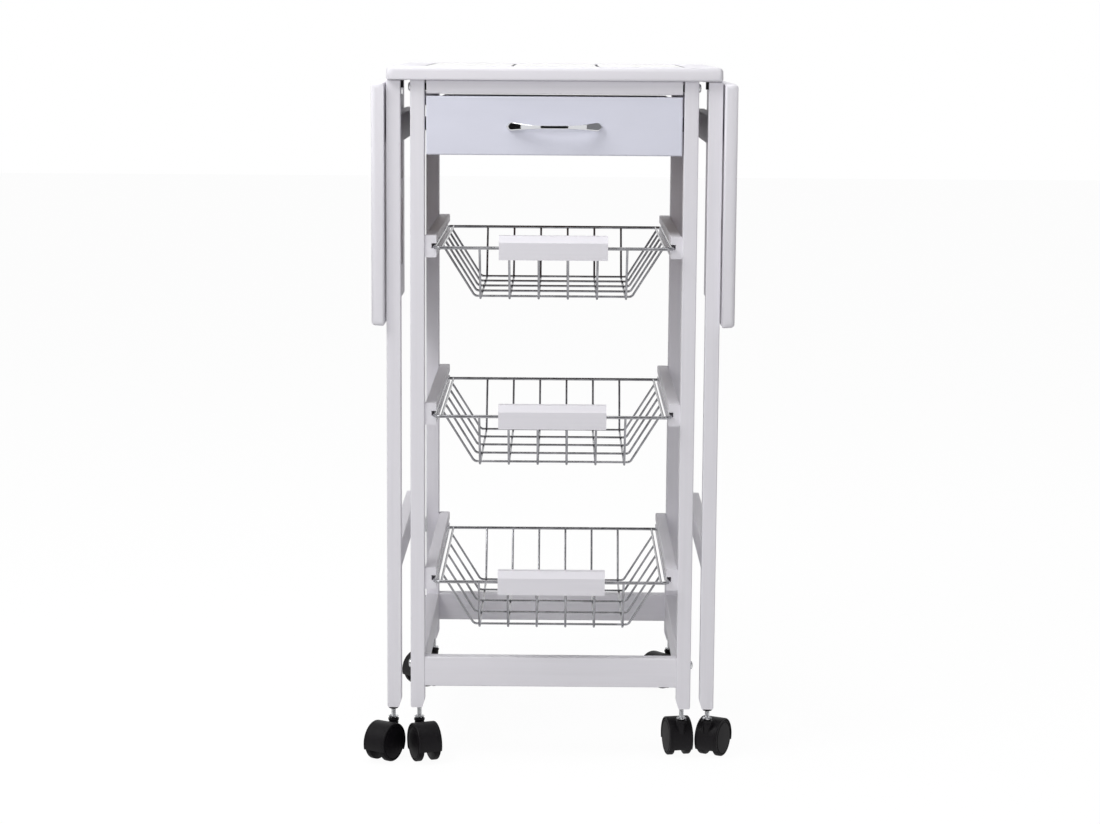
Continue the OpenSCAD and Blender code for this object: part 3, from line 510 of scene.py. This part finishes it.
class CART_OT_round_panels(bpy.types.Operator):
    """Gives the worktop and both leaves fuller round edges on their tiled side"""
    bl_idname = "cart.round_panels"
    bl_label = "Round the Panels"

    def execute(self, context):
        fuller = context.scene.cart_sizes.panel_edge / PANEL_EDGE
        panels = (
            ("top_frame", "worktop_frame", "frame", 2, 1, "x"),
            ("leaf_frame_left", "leaf_frame_rounded_left", "leaf_left", 0, -1, "z"),
            ("leaf_frame_right", "leaf_frame_rounded_right", "leaf_right", 0, 1, "z"),
        )
        for node, name, body, thin, outward, along in panels:
            mesh_data = merged_copy(node)
            low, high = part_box(node)
            middle = (low + high) / 2
            flat = [i for i in range(3) if i != thin]
            for v in mesh_data.verts:
                # How far the point lies inside the nearest faces of the panel's box
                ends = [high[i] if v.co[i] > middle[i] else low[i] for i in range(3)]
                deep = [abs(v.co[i] - ends[i]) - PANEL_SLACK for i in range(3)]
                tiled_side = (v.co[thin] - middle[thin]) * outward > 0
                on_edge = min(deep[i] for i in flat) < PANEL_EDGE and deep[thin] < PANEL_EDGE
                if not (tiled_side and on_edge):
                    continue
                for i in range(3):
                    if deep[i] < (PANEL_EDGE if i == thin else PANEL_CORNER):
                        v.co[i] = ends[i] + (v.co[i] - ends[i]) * fuller
            wood = bpy.data.materials["lacquered_pine_along_" + along]
            finish_piece(mesh_data, name, body, wood, (node,))
        return {"FINISHED"}


class CART_OT_lay_tiles(bpy.types.Operator):
    """Lays softly crowned glazed tiles in the worktop and in both leaves"""
    bl_idname = "cart.lay_tiles"
    bl_label = "Lay the Tiles"

    def soften(self, tile, edges, radius, segments):
        bmesh.ops.bevel(
            tile, geom=edges, offset=radius, segments=segments, profile=0.5,
            affect="EDGES", material=-1, clamp_overlap=True, offset_type="OFFSET",
        )
        tile.normal_update()

    def tile(self, low, high, up, outward, sizes, number):
        """Mesh of one tile in its box: rounded corners, soft edges and a crowned face."""
        corner, sink_more, lean = 1.2 * MM, 0.12 * MM, math.radians(0.08)
        flat = [i for i in range(3) if i != up]
        tile = bmesh.new()

        def face():
            return max(tile.faces, key=lambda f: f.normal[up] * outward * f.calc_area())

        bmesh.ops.create_cube(tile, size=1.0)
        bmesh.ops.scale(tile, vec=high - low, verts=tile.verts[:])
        upright = [e for e in tile.edges if abs((e.verts[0].co - e.verts[1].co)[up]) > SAME]
        self.soften(tile, upright, corner, 2)
        self.soften(tile, face().edges[:], sizes.tile_edge, 3)
        # The crown is built in two rings, each drawn in towards the middle of the face
        top = face()
        lift = Vector((0, 0, 0))
        lift[up] = outward * sizes.tile_crown
        draw_in = Vector((1, 1, 1))
        for reach, share in ((0.84, 0.60), (0.55, 0.40)):
            top = bmesh.ops.extrude_discrete_faces(tile, faces=[top])["faces"][0]
            draw_in[flat[0]] = draw_in[flat[1]] = reach
            bmesh.ops.scale(tile, vec=draw_in, verts=top.verts[:])
            bmesh.ops.translate(tile, verts=top.verts[:], vec=lift * share)
        # Each tile is laid by hand, so it leans its own way, by its number in a sine
        turns = Matrix.Rotation(lean * math.sin(2.4 * number + 0.7), 4, "XYZ"[flat[0]])
        turns = turns @ Matrix.Rotation(lean * math.sin(3.7 * number + 1.9), 4, "XYZ"[flat[1]])
        sink = Vector((0, 0, 0))
        sink[up] = -outward * (sizes.tile_crown + sink_more)
        place = Matrix.Translation((low + high) / 2 + sink) @ turns
        bmesh.ops.transform(tile, matrix=place, verts=tile.verts[:])
        tone = tile.faces.layers.float.new("tile_tone")
        for each in tile.faces:
            each[tone] = 0.5 + 0.5 * math.sin(5.1 * number + 0.4)
        mesh = bpy.data.meshes.new("one_tile")
        tile.to_mesh(mesh)
        tile.free()
        return mesh

    def execute(self, context):
        sizes = context.scene.cart_sizes
        finish = glazed_stoneware(context.scene.cart_colours.tile)
        fields = (
            ("top_tiles", "worktop_tiles", "frame", 2, 1),
            ("leaf_tiles_left", "leaf_tiles_glazed_left", "leaf_left", 0, -1),
            ("leaf_tiles_right", "leaf_tiles_glazed_right", "leaf_right", 0, 1),
        )
        number = 0
        for node, name, body, up, outward in fields:
            mesh_data = bmesh.new()
            for low, high in islands(node):
                number += 1
                mesh = self.tile(low, high, up, outward, sizes, number)
                mesh_data.from_mesh(mesh)
                bpy.data.meshes.remove(mesh)
            finish_piece(mesh_data, name, body, finish, (node,))
        return {"FINISHED"}


class CART_OT_finish_boards(bpy.types.Operator):
    """Finishes the grout, the hardboard under the tiles and the drawer's bottom"""
    bl_idname = "cart.finish_boards"
    bl_label = "Finish Grout and Boards"

    def execute(self, context):
        colours = context.scene.cart_colours
        grout = cement_grout(colours.grout)
        board = pressed_hardboard(colours.board)
        for node in ("top_grout", "leaf_grout_left", "leaf_grout_right"):
            dress(node, grout)
        for node in ("top_board", "leaf_board_left", "leaf_board_right", "drawer_panel"):
            dress(node, board)
        return {"FINISHED"}


# Metal fittings


class CART_OT_fit_hinges(bpy.types.Operator):
    """Plates the leaf hinges and gate brackets, and screws the hinges down"""
    bl_idname = "cart.fit_hinges"
    bl_label = "Fit Hinges and Brackets"

    def screw_rows(self, low, high):
        """Where a hinge's two screws stand along Y."""
        middle = (low.y + high.y) / 2
        return middle - 12 * MM, middle + 12 * MM

    def execute(self, context):
        width = context.scene.cart_sizes.screw_head
        from_knuckle, from_end, head_high = 9 * MM, 7 * MM, 1.2 * MM
        zinc = zinc_plated_steel(context.scene.cart_colours.zinc)
        for node in ("leaf_hinge_fixed", "leaf_hinge_left", "leaf_hinge_right", "gate_pivots"):
            dress(node, zinc)
        places = {"frame": [], "leaf_left": [], "leaf_right": []}
        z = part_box("top_frame")[1].z - SLAB_HIGH - HINGE_PLATE
        for low, high in islands("leaf_hinge_fixed"):
            side = 1 if low.x > 0 else -1
            x = (low.x if side > 0 else high.x) + side * from_knuckle
            for y in self.screw_rows(low, high):
                places["frame"].append((Vector((x, y, z)), -Z))
        for body, node in (("leaf_left", "leaf_hinge_left"), ("leaf_right", "leaf_hinge_right")):
            for low, high in islands(node):
                side = 1 if low.x > 0 else -1
                x = side * (abs(high.x if side > 0 else low.x) - HINGE_PLATE)
                for y in self.screw_rows(low, high):
                    places[body].append((Vector((x, y, low.z + from_end)), X * -side))
        for body, screws in places.items():
            mesh_data = bmesh.new()
            for seat, axis in screws:
                # Countersunk by 0.7 mm, so that a head rises only 0.5 mm above its plate
                socket_screw(mesh_data, seat - axis * 0.7 * MM, axis, width, head_high, 4)
            finish_piece(mesh_data, "hinge_screws_" + body, body, zinc)
        return {"FINISHED"}


class CART_OT_fit_bolts(bpy.types.Operator):
    """Fits the frame bolts, the washers, the runners and the gates' black pads"""
    bl_idname = "cart.fit_bolts"
    bl_label = "Fit Bolts and Washers"

    def execute(self, context):
        head_wide, head_high = 9.5 * MM, 2.5 * MM
        thick, tip, shoulder, end = 2.5 * MM, 1.6 * MM, 42 * MM, 43.5 * MM
        shank = [(0.0, 0.0), (0.0, thick), (shoulder, thick), (end, tip), (end, 0.0)]
        # What is longer than this along X is a bolt, the rest are the screws under the rail
        longest_screw = 20 * MM
        zinc = bpy.data.materials["zinc_plated_steel"]
        black = moulded_nylon(
            context.scene.cart_colours.nylon, "moulded_polyethylene", 0.48, False,
        )
        heads, plugs = bmesh.new(), bmesh.new()
        for low, high in islands("frame_bolts"):
            middle, size = (low + high) / 2, high - low
            if size.x > longest_screw:
                side = 1 if middle.x > 0 else -1
                outer = high.x if side > 0 else low.x
                seat = Vector((outer - side * head_high, middle.y, middle.z))
                socket_screw(heads, seat, X * side, head_wide, head_high, 6, 36)
                turn(heads, shank, seat, X * -side, 20)
            else:
                seat = Vector((middle.x, middle.y, high.z))
                socket_screw(plugs, seat, -Z, size.x, size.z, 4)
        finish_piece(heads, "frame_bolt_heads", "frame", zinc, ("frame_bolts",))
        finish_piece(plugs, "rail_screws", "frame", black)
        for node in ("apron_washers", "gate_pad_left", "gate_pad_right", "drawer_runners"):
            dress(node, black)
        return {"FINISHED"}


class CART_OT_fit_bow_handle(bpy.types.Operator):
    """Replaces the drawer's bow by one that flares towards its rounded ends"""
    bl_idname = "cart.fit_bow_handle"
    bl_label = "Fit the Bow Handle"

    def execute(self, context):
        sizes = context.scene.cart_sizes
        # How far the bow's ends stay off the drawer, and the post holes from its middle
        end_gap, hole_away = 2.2 * MM, 48 * MM
        # The lower the power, the squarer the bow's section
        square = 0.22
        chrome = polished_chrome(context.scene.cart_colours.chrome)
        low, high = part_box("drawer_handle")
        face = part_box("drawer_front")[0].y
        half = (high.x - low.x) / 2
        height = (low.z + high.z) / 2
        out = face - low.y - sizes.bow_depth / 2
        rise = out - end_gap
        span = half - sizes.bow_depth / 2
        radius = (span * span + rise * rise) / (2 * rise)
        reach = math.asin(span / radius)
        centre = Vector((0, face + radius - out, height))
        mesh_data = bmesh.new()
        made = bmesh.ops.create_circle(
            mesh_data, cap_ends=False, radius=0.5, segments=48,
            matrix=Matrix.Rotation(math.pi / 2, 4, "X"),
        )["verts"]
        for v in made:
            # A round cornered section with a nearly flat front, one unit high
            v.co.x = math.copysign(0.5 * abs(2 * v.co.x) ** square, v.co.x) * sizes.bow_depth
            v.co.z = math.copysign(0.5 * abs(2 * v.co.z) ** square, v.co.z)
        bmesh.ops.translate(mesh_data, verts=made, vec=(radius, 0, 0))
        bmesh.ops.rotate(
            mesh_data, verts=made, cent=(0, 0, 0),
            matrix=Matrix.Rotation(-math.pi / 2 - reach, 3, "Z"),
        )
        bmesh.ops.translate(mesh_data, verts=made, vec=centre)
        bmesh.ops.spin(
            mesh_data, geom=made + mesh_data.edges[:], cent=centre, axis=Z, dvec=(0, 0, 0),
            angle=2 * reach, steps=96, use_merge=False, use_duplicate=False,
        )
        for v in mesh_data.verts:
            # The flare starts at 30 % of the half bow and is full at 90 %
            away = abs(v.co.x)
            share = min(1.0, max(0.0, (away - 0.30 * span) / (0.60 * span)))
            ease = share ** 1.6
            tall = sizes.bow_middle + (sizes.bow_end - sizes.bow_middle) * ease
            # The lobes end in a half circle
            left = min(1.0, max(0.0, span - away) / (0.5 * sizes.bow_end))
            tip = math.sqrt(max(0.0, 1 - (1 - left) ** 2))
            # The flat front of the middle turns into a dome towards the lobes
            unit = v.co.z - height
            unit = math.copysign(0.5 * abs(2 * unit) ** (1 + 1.7 * ease), unit)
            v.co.z = height + unit * tall * max(0.10, tip)
        ends = [e for e in mesh_data.edges if e.is_boundary]
        bmesh.ops.holes_fill(mesh_data, edges=ends, sides=0)
        # Each post has a small foot on the drawer and ends inside the bow
        end = out - rise + 2.6 * MM
        post = [
            (0.0, 0.0), (0.0, 3.9 * MM), (0.8 * MM, 3.6 * MM), (end, 3.0 * MM), (end, 0.0),
        ]
        for side in (-1, 1):
            turn(mesh_data, post, Vector((side * hole_away, face, height)), -Y, 24)
        finish_piece(mesh_data, "bow_handle", "drawer", chrome, ("drawer_handle",), 50.0)
        return {"FINISHED"}


class CART_OT_plate_baskets(bpy.types.Operator):
    """Plates the wires of the three baskets"""
    bl_idname = "cart.plate_baskets"
    bl_label = "Plate the Baskets"

    def execute(self, context):
        nickel = nickel_plated_wire(context.scene.cart_colours.wire)
        for node in ("basket_top", "basket_middle", "basket_bottom"):
            dress(node, nickel)
        return {"FINISHED"}


# Casters


def caster_place(name):
    """Matrix that puts a caster drawn round its stem, trailing to the front, in its place."""
    stem = Vector(joint(name + "_swivel")["pos_m"])
    axle = Vector(joint(name + "_spin")["pos_m"])
    away = axle - stem
    angle = math.atan2(away.x, -away.y)
    return Matrix.Translation((stem.x, stem.y, 0)) @ Matrix.Rotation(angle, 4, "Z")


class CART_OT_mount_hoods(bpy.types.Operator):
    """Mounts the caster hoods: rolled shell, web between the wheels, stepped neck"""
    bl_idname = "cart.mount_hoods"
    bl_label = "Mount the Caster Hoods"

    def shell(self, edge):
        """Section of the shell with its web, as (distance along the axle, radius)."""
        half, outer, inner, web = 13.7 * MM, 23.0 * MM, 21.5 * MM, 6.2 * MM
        corner = rolled_edge(half, outer, edge)
        # A thin line is moulded round the shell near each side
        line, wide, deep = half - 2.6 * MM, 0.5 * MM, 0.22 * MM
        return (
            [(-half, inner)]
            + [(-a, r) for a, r in reversed(corner)]
            + [(-line, outer), (-line + wide / 2, outer - deep), (-line + wide, outer)]
            + [(line - wide, outer), (line - wide / 2, outer - deep), (line, outer)]
            + corner
            + [(half, inner), (web, inner), (web, AXLE_BORE)]
            + [(-web, AXLE_BORE), (-web, inner), (-half, inner)]
        )

    def execute(self, context):
        nylon = moulded_nylon(context.scene.cart_colours.nylon, "moulded_nylon", 0.42, False)
        profile = self.shell(context.scene.cart_sizes.hood_edge)
        # The boss runs down the hood's face to a point, and ends above in a stepped collar
        boss = [(h * MM, r * MM) for h, r in (
            (25.0, 0.0), (25.2, 3.3), (30.0, 4.15), (36.0, 5.0), (40.6, 5.6), (41.2, 5.3),
            (41.9, 5.3), (42.4, 6.0), (44.4, 6.2), (44.8, 5.9), (45.0, 5.3), (45.0, 3.0),
            (40.0, 3.0), (40.0, 0.0),
        )]
        # The shell's lower edge is 9 mm above the floor at the stem's side, 15 mm opposite
        cut_place, cut_up = (0, 5 * MM, 9 * MM), (0, 6 / 46, 1)
        for name in CASTERS:
            mesh_data = bmesh.new()
            turn(mesh_data, profile, AXLE, X, 64)
            bmesh.ops.remove_doubles(mesh_data, verts=mesh_data.verts[:], dist=SAME)
            bmesh.ops.bisect_plane(
                mesh_data, geom=mesh_data.verts[:] + mesh_data.edges[:] + mesh_data.faces[:],
                plane_co=cut_place, plane_no=cut_up, clear_inner=True, dist=1e-7,
            )
            bmesh.ops.holes_fill(
                mesh_data, edges=[e for e in mesh_data.edges if e.is_boundary], sides=0,
            )
            turn(mesh_data, boss, ORIGIN, Z, 40)
            bmesh.ops.transform(mesh_data, matrix=caster_place(name), verts=mesh_data.verts[:])
            finish_piece(
                mesh_data, "caster_hood_" + name, "caster_" + name, nylon,
                ("hood_" + name,), 40.0,
            )
        return {"FINISHED"}


class CART_OT_mount_wheels(bpy.types.Operator):
    """Mounts the twin caster wheels on their axles"""
    bl_idname = "cart.mount_wheels"
    bl_label = "Mount the Caster Wheels"

    def execute(self, context):
        tread = moulded_nylon(
            context.scene.cart_colours.nylon, "moulded_nylon_tread", 0.46, True,
        )
        r, inside, outside = WHEEL_RADIUS, 6.55 * MM, 13.3 * MM
        axle_radius = 2.5 * MM
        axle = [(-inside, 0.0), (-inside, axle_radius), (inside, axle_radius), (inside, 0.0)]
        inner_edge = [(inside, AXLE_BORE), (inside, r - 0.6 * MM), (inside + 0.5 * MM, r)]
        shoulder = rolled_edge(outside, r, context.scene.cart_sizes.tread_edge)
        # A groove inside the tread, then a disc that domes slightly towards the middle
        disc = [
            (outside, r - 2.0 * MM), (outside - 0.8 * MM, r - 2.4 * MM),
            (outside - 0.8 * MM, r - 3.0 * MM), (outside + 0.02 * MM, r - 3.5 * MM),
            (outside + 0.16 * MM, 0.55 * r), (outside + 0.25 * MM, 0.25 * r),
            (outside + 0.28 * MM, 0.0),
        ]
        for name in CASTERS:
            mesh_data = bmesh.new()
            for side in (-1, 1):
                turn(mesh_data, inner_edge + shoulder + disc, AXLE, X * side, 56)
            turn(mesh_data, axle, AXLE, X, 24)
            bmesh.ops.transform(mesh_data, matrix=caster_place(name), verts=mesh_data.verts[:])
            finish_piece(
                mesh_data, "twin_wheels_" + name, "wheels_" + name + "_turning", tread,
                ("wheels_" + name,), 40.0,
            )
        return {"FINISHED"}


class CART_OT_fit_stems(bpy.types.Operator):
    """Fits the threaded caster stems with their crown washers and black ferrules"""
    bl_idname = "cart.fit_stems"
    bl_label = "Fit the Caster Stems"

    def crown(self, mesh_data, place, width):
        """Toothed washer: a dished ring whose edge is cut into eight upright petals."""
        petals, petal_foot, petals_above, thick = 8, 46.0 * MM, 46.4 * MM, 0.35 * MM
        before = set(mesh_data.verts)
        new = turn(mesh_data, [
            (45.7 * MM, 2.8 * MM), (45.5 * MM, 3.6 * MM), (45.8 * MM, 0.42 * width),
            (46.8 * MM, 0.47 * width), (47.9 * MM, 0.5 * width),
        ], ORIGIN, Z, 32)
        for v in new:
            if v.co.z > petals_above:
                cut = 0.5 + 0.5 * math.cos(petals * math.atan2(v.co.y, v.co.x))
                v.co.z = petal_foot + (v.co.z - petal_foot) * (0.25 + 0.75 * cut)
        bmesh.ops.remove_doubles(mesh_data, verts=new, dist=SAME)
        ring = [f for f in mesh_data.faces if not set(f.verts) & before]
        bmesh.ops.recalc_face_normals(mesh_data, faces=ring)
        bmesh.ops.solidify(mesh_data, geom=ring, thickness=thick)
        new = [v for v in mesh_data.verts if v not in before]
        bmesh.ops.transform(mesh_data, matrix=place, verts=new)

    def stem(self, foot, pitch):
        """Section of a stem whose thread shows between its neck and the leg's foot."""
        r, deep = 2.75 * MM, 0.36 * MM
        end, neck, in_leg, into_foot = 27.4 * MM, 47.4 * MM, 31 * MM, 0.5 * MM
        points = [(end, 0.0), (end, r), (neck, r)]
        h = neck
        while h < foot + into_foot:
            points += [(h + 0.12 * pitch, r), (h + 0.5 * pitch, r - deep), (h + 0.88 * pitch, r)]
            h += pitch
        return points + [(foot + in_leg, r), (foot + in_leg, 0.0)]

    def ferrule(self, foot, wide, tall):
        """Section of a ferrule of that radius and height in millimetres, under a leg."""
        bore = 2.9
        return [(foot - a * tall * MM, b * MM) for a, b in (
            (0.0, bore), (0.0, wide), (0.5, wide), (0.9, wide - 0.5), (1.0, bore), (0.0, bore),
        )]

    def execute(self, context):
        sizes = context.scene.cart_sizes
        zinc = bpy.data.materials["zinc_plated_steel"]
        black = bpy.data.materials["moulded_polyethylene"]
        groups = {
            "frame": (("front_left", "front_right", "back_left", "back_right"), "caster_stems"),
            "gate_left": (("gate_left",), "stem_gate_left"),
            "gate_right": (("gate_right",), "stem_gate_right"),
        }
        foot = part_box("leg_front_left")[0].z
        for body, (names, node) in groups.items():
            steel, rings = bmesh.new(), bmesh.new()
            for name in names:
                at = Vector(joint(name + "_swivel")["pos_m"])
                place = Matrix.Translation((at.x, at.y, 0))
                new = turn(steel, self.stem(foot, sizes.thread_pitch), ORIGIN, Z, 24)
                bmesh.ops.transform(steel, matrix=place, verts=new)
                self.crown(steel, place, sizes.crown_width)
                # Those under the gate legs are wider and taller
                wide, tall = (5.6, 3.0) if name.startswith("gate") else (3.7, 1.2)
                new = turn(rings, self.ferrule(foot, wide, tall), ORIGIN, Z, 32)
                bmesh.ops.transform(rings, matrix=place, verts=new)
            finish_piece(steel, "threaded_stems_" + body, body, zinc, (node,))
            finish_piece(rings, "stem_ferrules_" + body, body, black)
        return {"FINISHED"}


# Studio


class CART_OT_set_stage(bpy.types.Operator):
    """Sets the pale floor, the soft lamps, the flags that metal mirrors, and the camera"""
    bl_idname = "cart.set_stage"
    bl_label = "Set the Studio"

    def card(self, name, size, matrix, material):
        mesh_data = bmesh.new()
        bmesh.ops.create_grid(mesh_data, x_segments=1, y_segments=1, size=0.5)
        bmesh.ops.scale(mesh_data, vec=(size[0], size[1], 1), verts=mesh_data.verts[:])
        bmesh.ops.transform(mesh_data, matrix=matrix, verts=mesh_data.verts[:])
        made = as_object(mesh_data, name, material)
        return made

    def hang(self, name, data, aim):
        """Links a lamp that shines along a direction."""
        made = bpy.data.objects.new(name, data)
        made.rotation_euler = aim.to_track_quat("-Z", "Y").to_euler()
        bpy.context.scene.collection.objects.link(made)
        return made

    def softbox(self, name, place, size, power):
        """Area lamp that points at the middle of the cart's height."""
        data = bpy.data.lights.new(name, "AREA")
        data.shape = "RECTANGLE"
        data.size, data.size_y = size
        data.energy = power
        self.hang(name, data, Vector((0, 0, 0.5)) - Vector(place)).location = place

    def seen(self, tree):
        """1 for camera, glossy and transmission rays, and 0 for all others."""
        path = add(tree, "ShaderNodeLightPath").outputs
        seen = path["Is Camera Ray"]
        for kind in ("Is Glossy Ray", "Is Transmission Ray"):
            seen = add(
                tree, "ShaderNodeMath", {0: seen, 1: path[kind]}, operation="MAXIMUM",
            ).outputs[0]
        return seen

    def floor_material(self):
        """Seamless white paper: seen directly it is white, and it keeps a soft shadow."""
        material, tree = start_material("seamless_white_paper")
        # Even where it is seen, a tenth of it is lit paper, and the glow makes up for that
        glow_share, glow_strength = 0.90, 1.06
        share = add(
            tree, "ShaderNodeMath", {0: self.seen(tree), 1: glow_share}, operation="MULTIPLY",
        )
        fibre = pattern(tree, (3.0, 3.0, 3.0), detail=2.0)
        paper = add(tree, "ShaderNodeBsdfPrincipled", {
            "Base Color": linear("#CCCCCC"), "Roughness": 0.9,
            "Normal": bump(tree, fibre, 0.05, 0.2),
        })
        glow = add(tree, "ShaderNodeEmission", {
            "Color": linear("#FFFFFF"), "Strength": glow_strength,
        })
        mixed = add(tree, "ShaderNodeMixShader", {
            0: share.outputs[0], 1: paper.outputs[0], 2: glow.outputs[0],
        })
        return close_material(material, mixed)

    def flag_material(self, name, tone):
        """Cloth stretched on a frame, which metal mirrors as a dark or a grey band."""
        material, tree = start_material(name)
        weave = pattern(tree, (2.0, 2.0, 2.0), detail=1.0)
        return surface(material, {
            "Base Color": linear(tone), "Roughness": 0.95,
            "Normal": bump(tree, weave, 0.2, 0.4),
        })

    def set_cards(self):
        self.card("studio_floor", (24, 24), Matrix.Identity(4), self.floor_material())
        black = self.flag_material("black_flag_cloth", "#1A1A1C")
        grey = self.flag_material("grey_flag_cloth", "#E0E0E4")
        # The studio's dark ceiling, which the level wires of the baskets mirror
        ceiling = self.card("dark_ceiling", (7, 7), Matrix.Translation((0, 0, 4.2)), black)
        ceiling.visible_shadow = False
        ceiling.visible_camera = False
        ceiling.visible_diffuse = False
        upright = Matrix.Rotation(math.pi / 2, 4, "X")
        # The bow handle mirrors these as its dark middle, dark left end and grey right end.
        # Each stands so many degrees to the right of the camera and so far from the cart
        for name, degrees, away, width, tall, cloth in (
            ("dark_studio_wall", 0, 5.0, 3.6, 5.0, black),
            ("dark_flag_left", -60, 4.0, 1.5, 2.0, black),
            ("grey_flag_right", 64, 4.0, 2.4, 5.0, grey),
        ):
            turned = Matrix.Rotation(math.radians(degrees), 4, "Z")
            place = turned @ Matrix.Translation((0.0, -away, tall / 2)) @ upright
            flag = self.card(name, (width, tall), place, cloth)
            # A flag is there to be mirrored: it takes no light from the cart and isn't seen
            flag.visible_shadow = False
            flag.visible_camera = False

    def set_lamps(self):
        self.softbox("top_softbox", (-0.2, -0.2, 3.1), (2.4, 2.0), 44)
        self.softbox("left_softbox", (-0.95, -0.85, 1.75), (0.7, 0.7), 12)
        # A far, broad front light is as strong on the back legs as on the front ones
        far = bpy.data.lights.new("far_front_light", "SUN")
        far.energy = 1.08
        far.angle = math.radians(35)
        # It lights surfaces, but isn't mirrored in them
        self.hang("far_front_light", far, Vector((0.12, 1.0, -0.16))).visible_glossy = False

    def set_world(self, scene):
        """White where it is seen, and a weak light from all sides."""
        world = bpy.data.worlds.new("white_studio")
        scene.world = world
        world.use_nodes = True
        tree = world.node_tree
        tree.nodes.clear()
        sky = add(tree, "ShaderNodeBackground", {
            "Color": linear("#FFFFFF"), "Strength": between(tree, self.seen(tree), 0.21, 1.0),
        })
        add(tree, "ShaderNodeOutputWorld", {"Surface": sky.outputs[0]})

    def set_camera(self, scene):
        """Camera fitted to edges in the photograph, whose angles are in degrees."""
        place, angles = (0.0090, -2.9947, 0.8171), (-0.2365, 8.376, 0.3887)
        focal_pixels, photo_wide, sensor_wide = 2557.84, 1100, 36.0
        yaw, pitch, roll = map(math.radians, angles)
        ahead = Vector((
            math.sin(yaw) * math.cos(pitch), math.cos(yaw) * math.cos(pitch), -math.sin(pitch),
        ))
        level = ahead.cross(Z).normalized()
        upright = level.cross(ahead)
        right = math.cos(roll) * level + math.sin(roll) * upright
        up = math.cos(roll) * upright - math.sin(roll) * level
        data = bpy.data.cameras.new("photo_camera")
        data.sensor_fit = "HORIZONTAL"
        data.sensor_width = sensor_wide
        data.lens = focal_pixels / photo_wide * sensor_wide
        data.clip_end = 100.0
        camera = bpy.data.objects.new("photo_camera", data)
        turned = Matrix((right, up, -ahead)).transposed().to_4x4()
        camera.matrix_world = Matrix.Translation(place) @ turned
        scene.collection.objects.link(camera)
        scene.camera = camera

    def execute(self, context):
        scene = context.scene
        self.set_cards()
        self.set_lamps()
        self.set_world(scene)
        self.set_camera(scene)
        scene.view_settings.view_transform = "Standard"
        return {"FINISHED"}


class CART_PT_sidebar(bpy.types.Panel):
    """Lists the cart's sizes and colours, and a button for each step that dresses it"""
    bl_idname = "CART_PT_sidebar"
    bl_label = "Kitchen Cart"
    bl_space_type = "VIEW_3D"
    bl_region_type = "UI"
    bl_category = "Kitchen Cart"

    def draw(self, context):
        for group in (context.scene.cart_sizes, context.scene.cart_colours):
            column = self.layout.column(align=True)
            for name in type(group).__annotations__:
                column.prop(group, name)
        column = self.layout.column(align=True)
        for operator in OPERATORS:
            column.operator(operator.bl_idname)


OPERATORS = (
    CART_OT_lacquer_wood,
    CART_OT_round_panels,
    CART_OT_lay_tiles,
    CART_OT_finish_boards,
    CART_OT_fit_hinges,
    CART_OT_fit_bolts,
    CART_OT_fit_bow_handle,
    CART_OT_plate_baskets,
    CART_OT_mount_hoods,
    CART_OT_mount_wheels,
    CART_OT_fit_stems,
    CART_OT_set_stage,
)
CLASSES = (CartSizes, CartColours) + OPERATORS + (CART_PT_sidebar,)


def register():
    for entry in CLASSES:
        bpy.utils.register_class(entry)
    bpy.types.Scene.cart_sizes = bpy.props.PointerProperty(type=CartSizes)
    bpy.types.Scene.cart_colours = bpy.props.PointerProperty(type=CartColours)


def unregister():
    del bpy.types.Scene.cart_colours
    del bpy.types.Scene.cart_sizes
    for entry in reversed(CLASSES):
        bpy.utils.unregister_class(entry)


def main():
    register()
    bpy.ops.cart.lacquer_wood()
    bpy.ops.cart.round_panels()
    bpy.ops.cart.lay_tiles()
    bpy.ops.cart.finish_boards()
    bpy.ops.cart.fit_hinges()
    bpy.ops.cart.fit_bolts()
    bpy.ops.cart.fit_bow_handle()
    bpy.ops.cart.plate_baskets()
    bpy.ops.cart.mount_hoods()
    bpy.ops.cart.mount_wheels()
    bpy.ops.cart.fit_stems()
    bpy.ops.cart.set_stage()


if __name__ == "__main__":
    main()
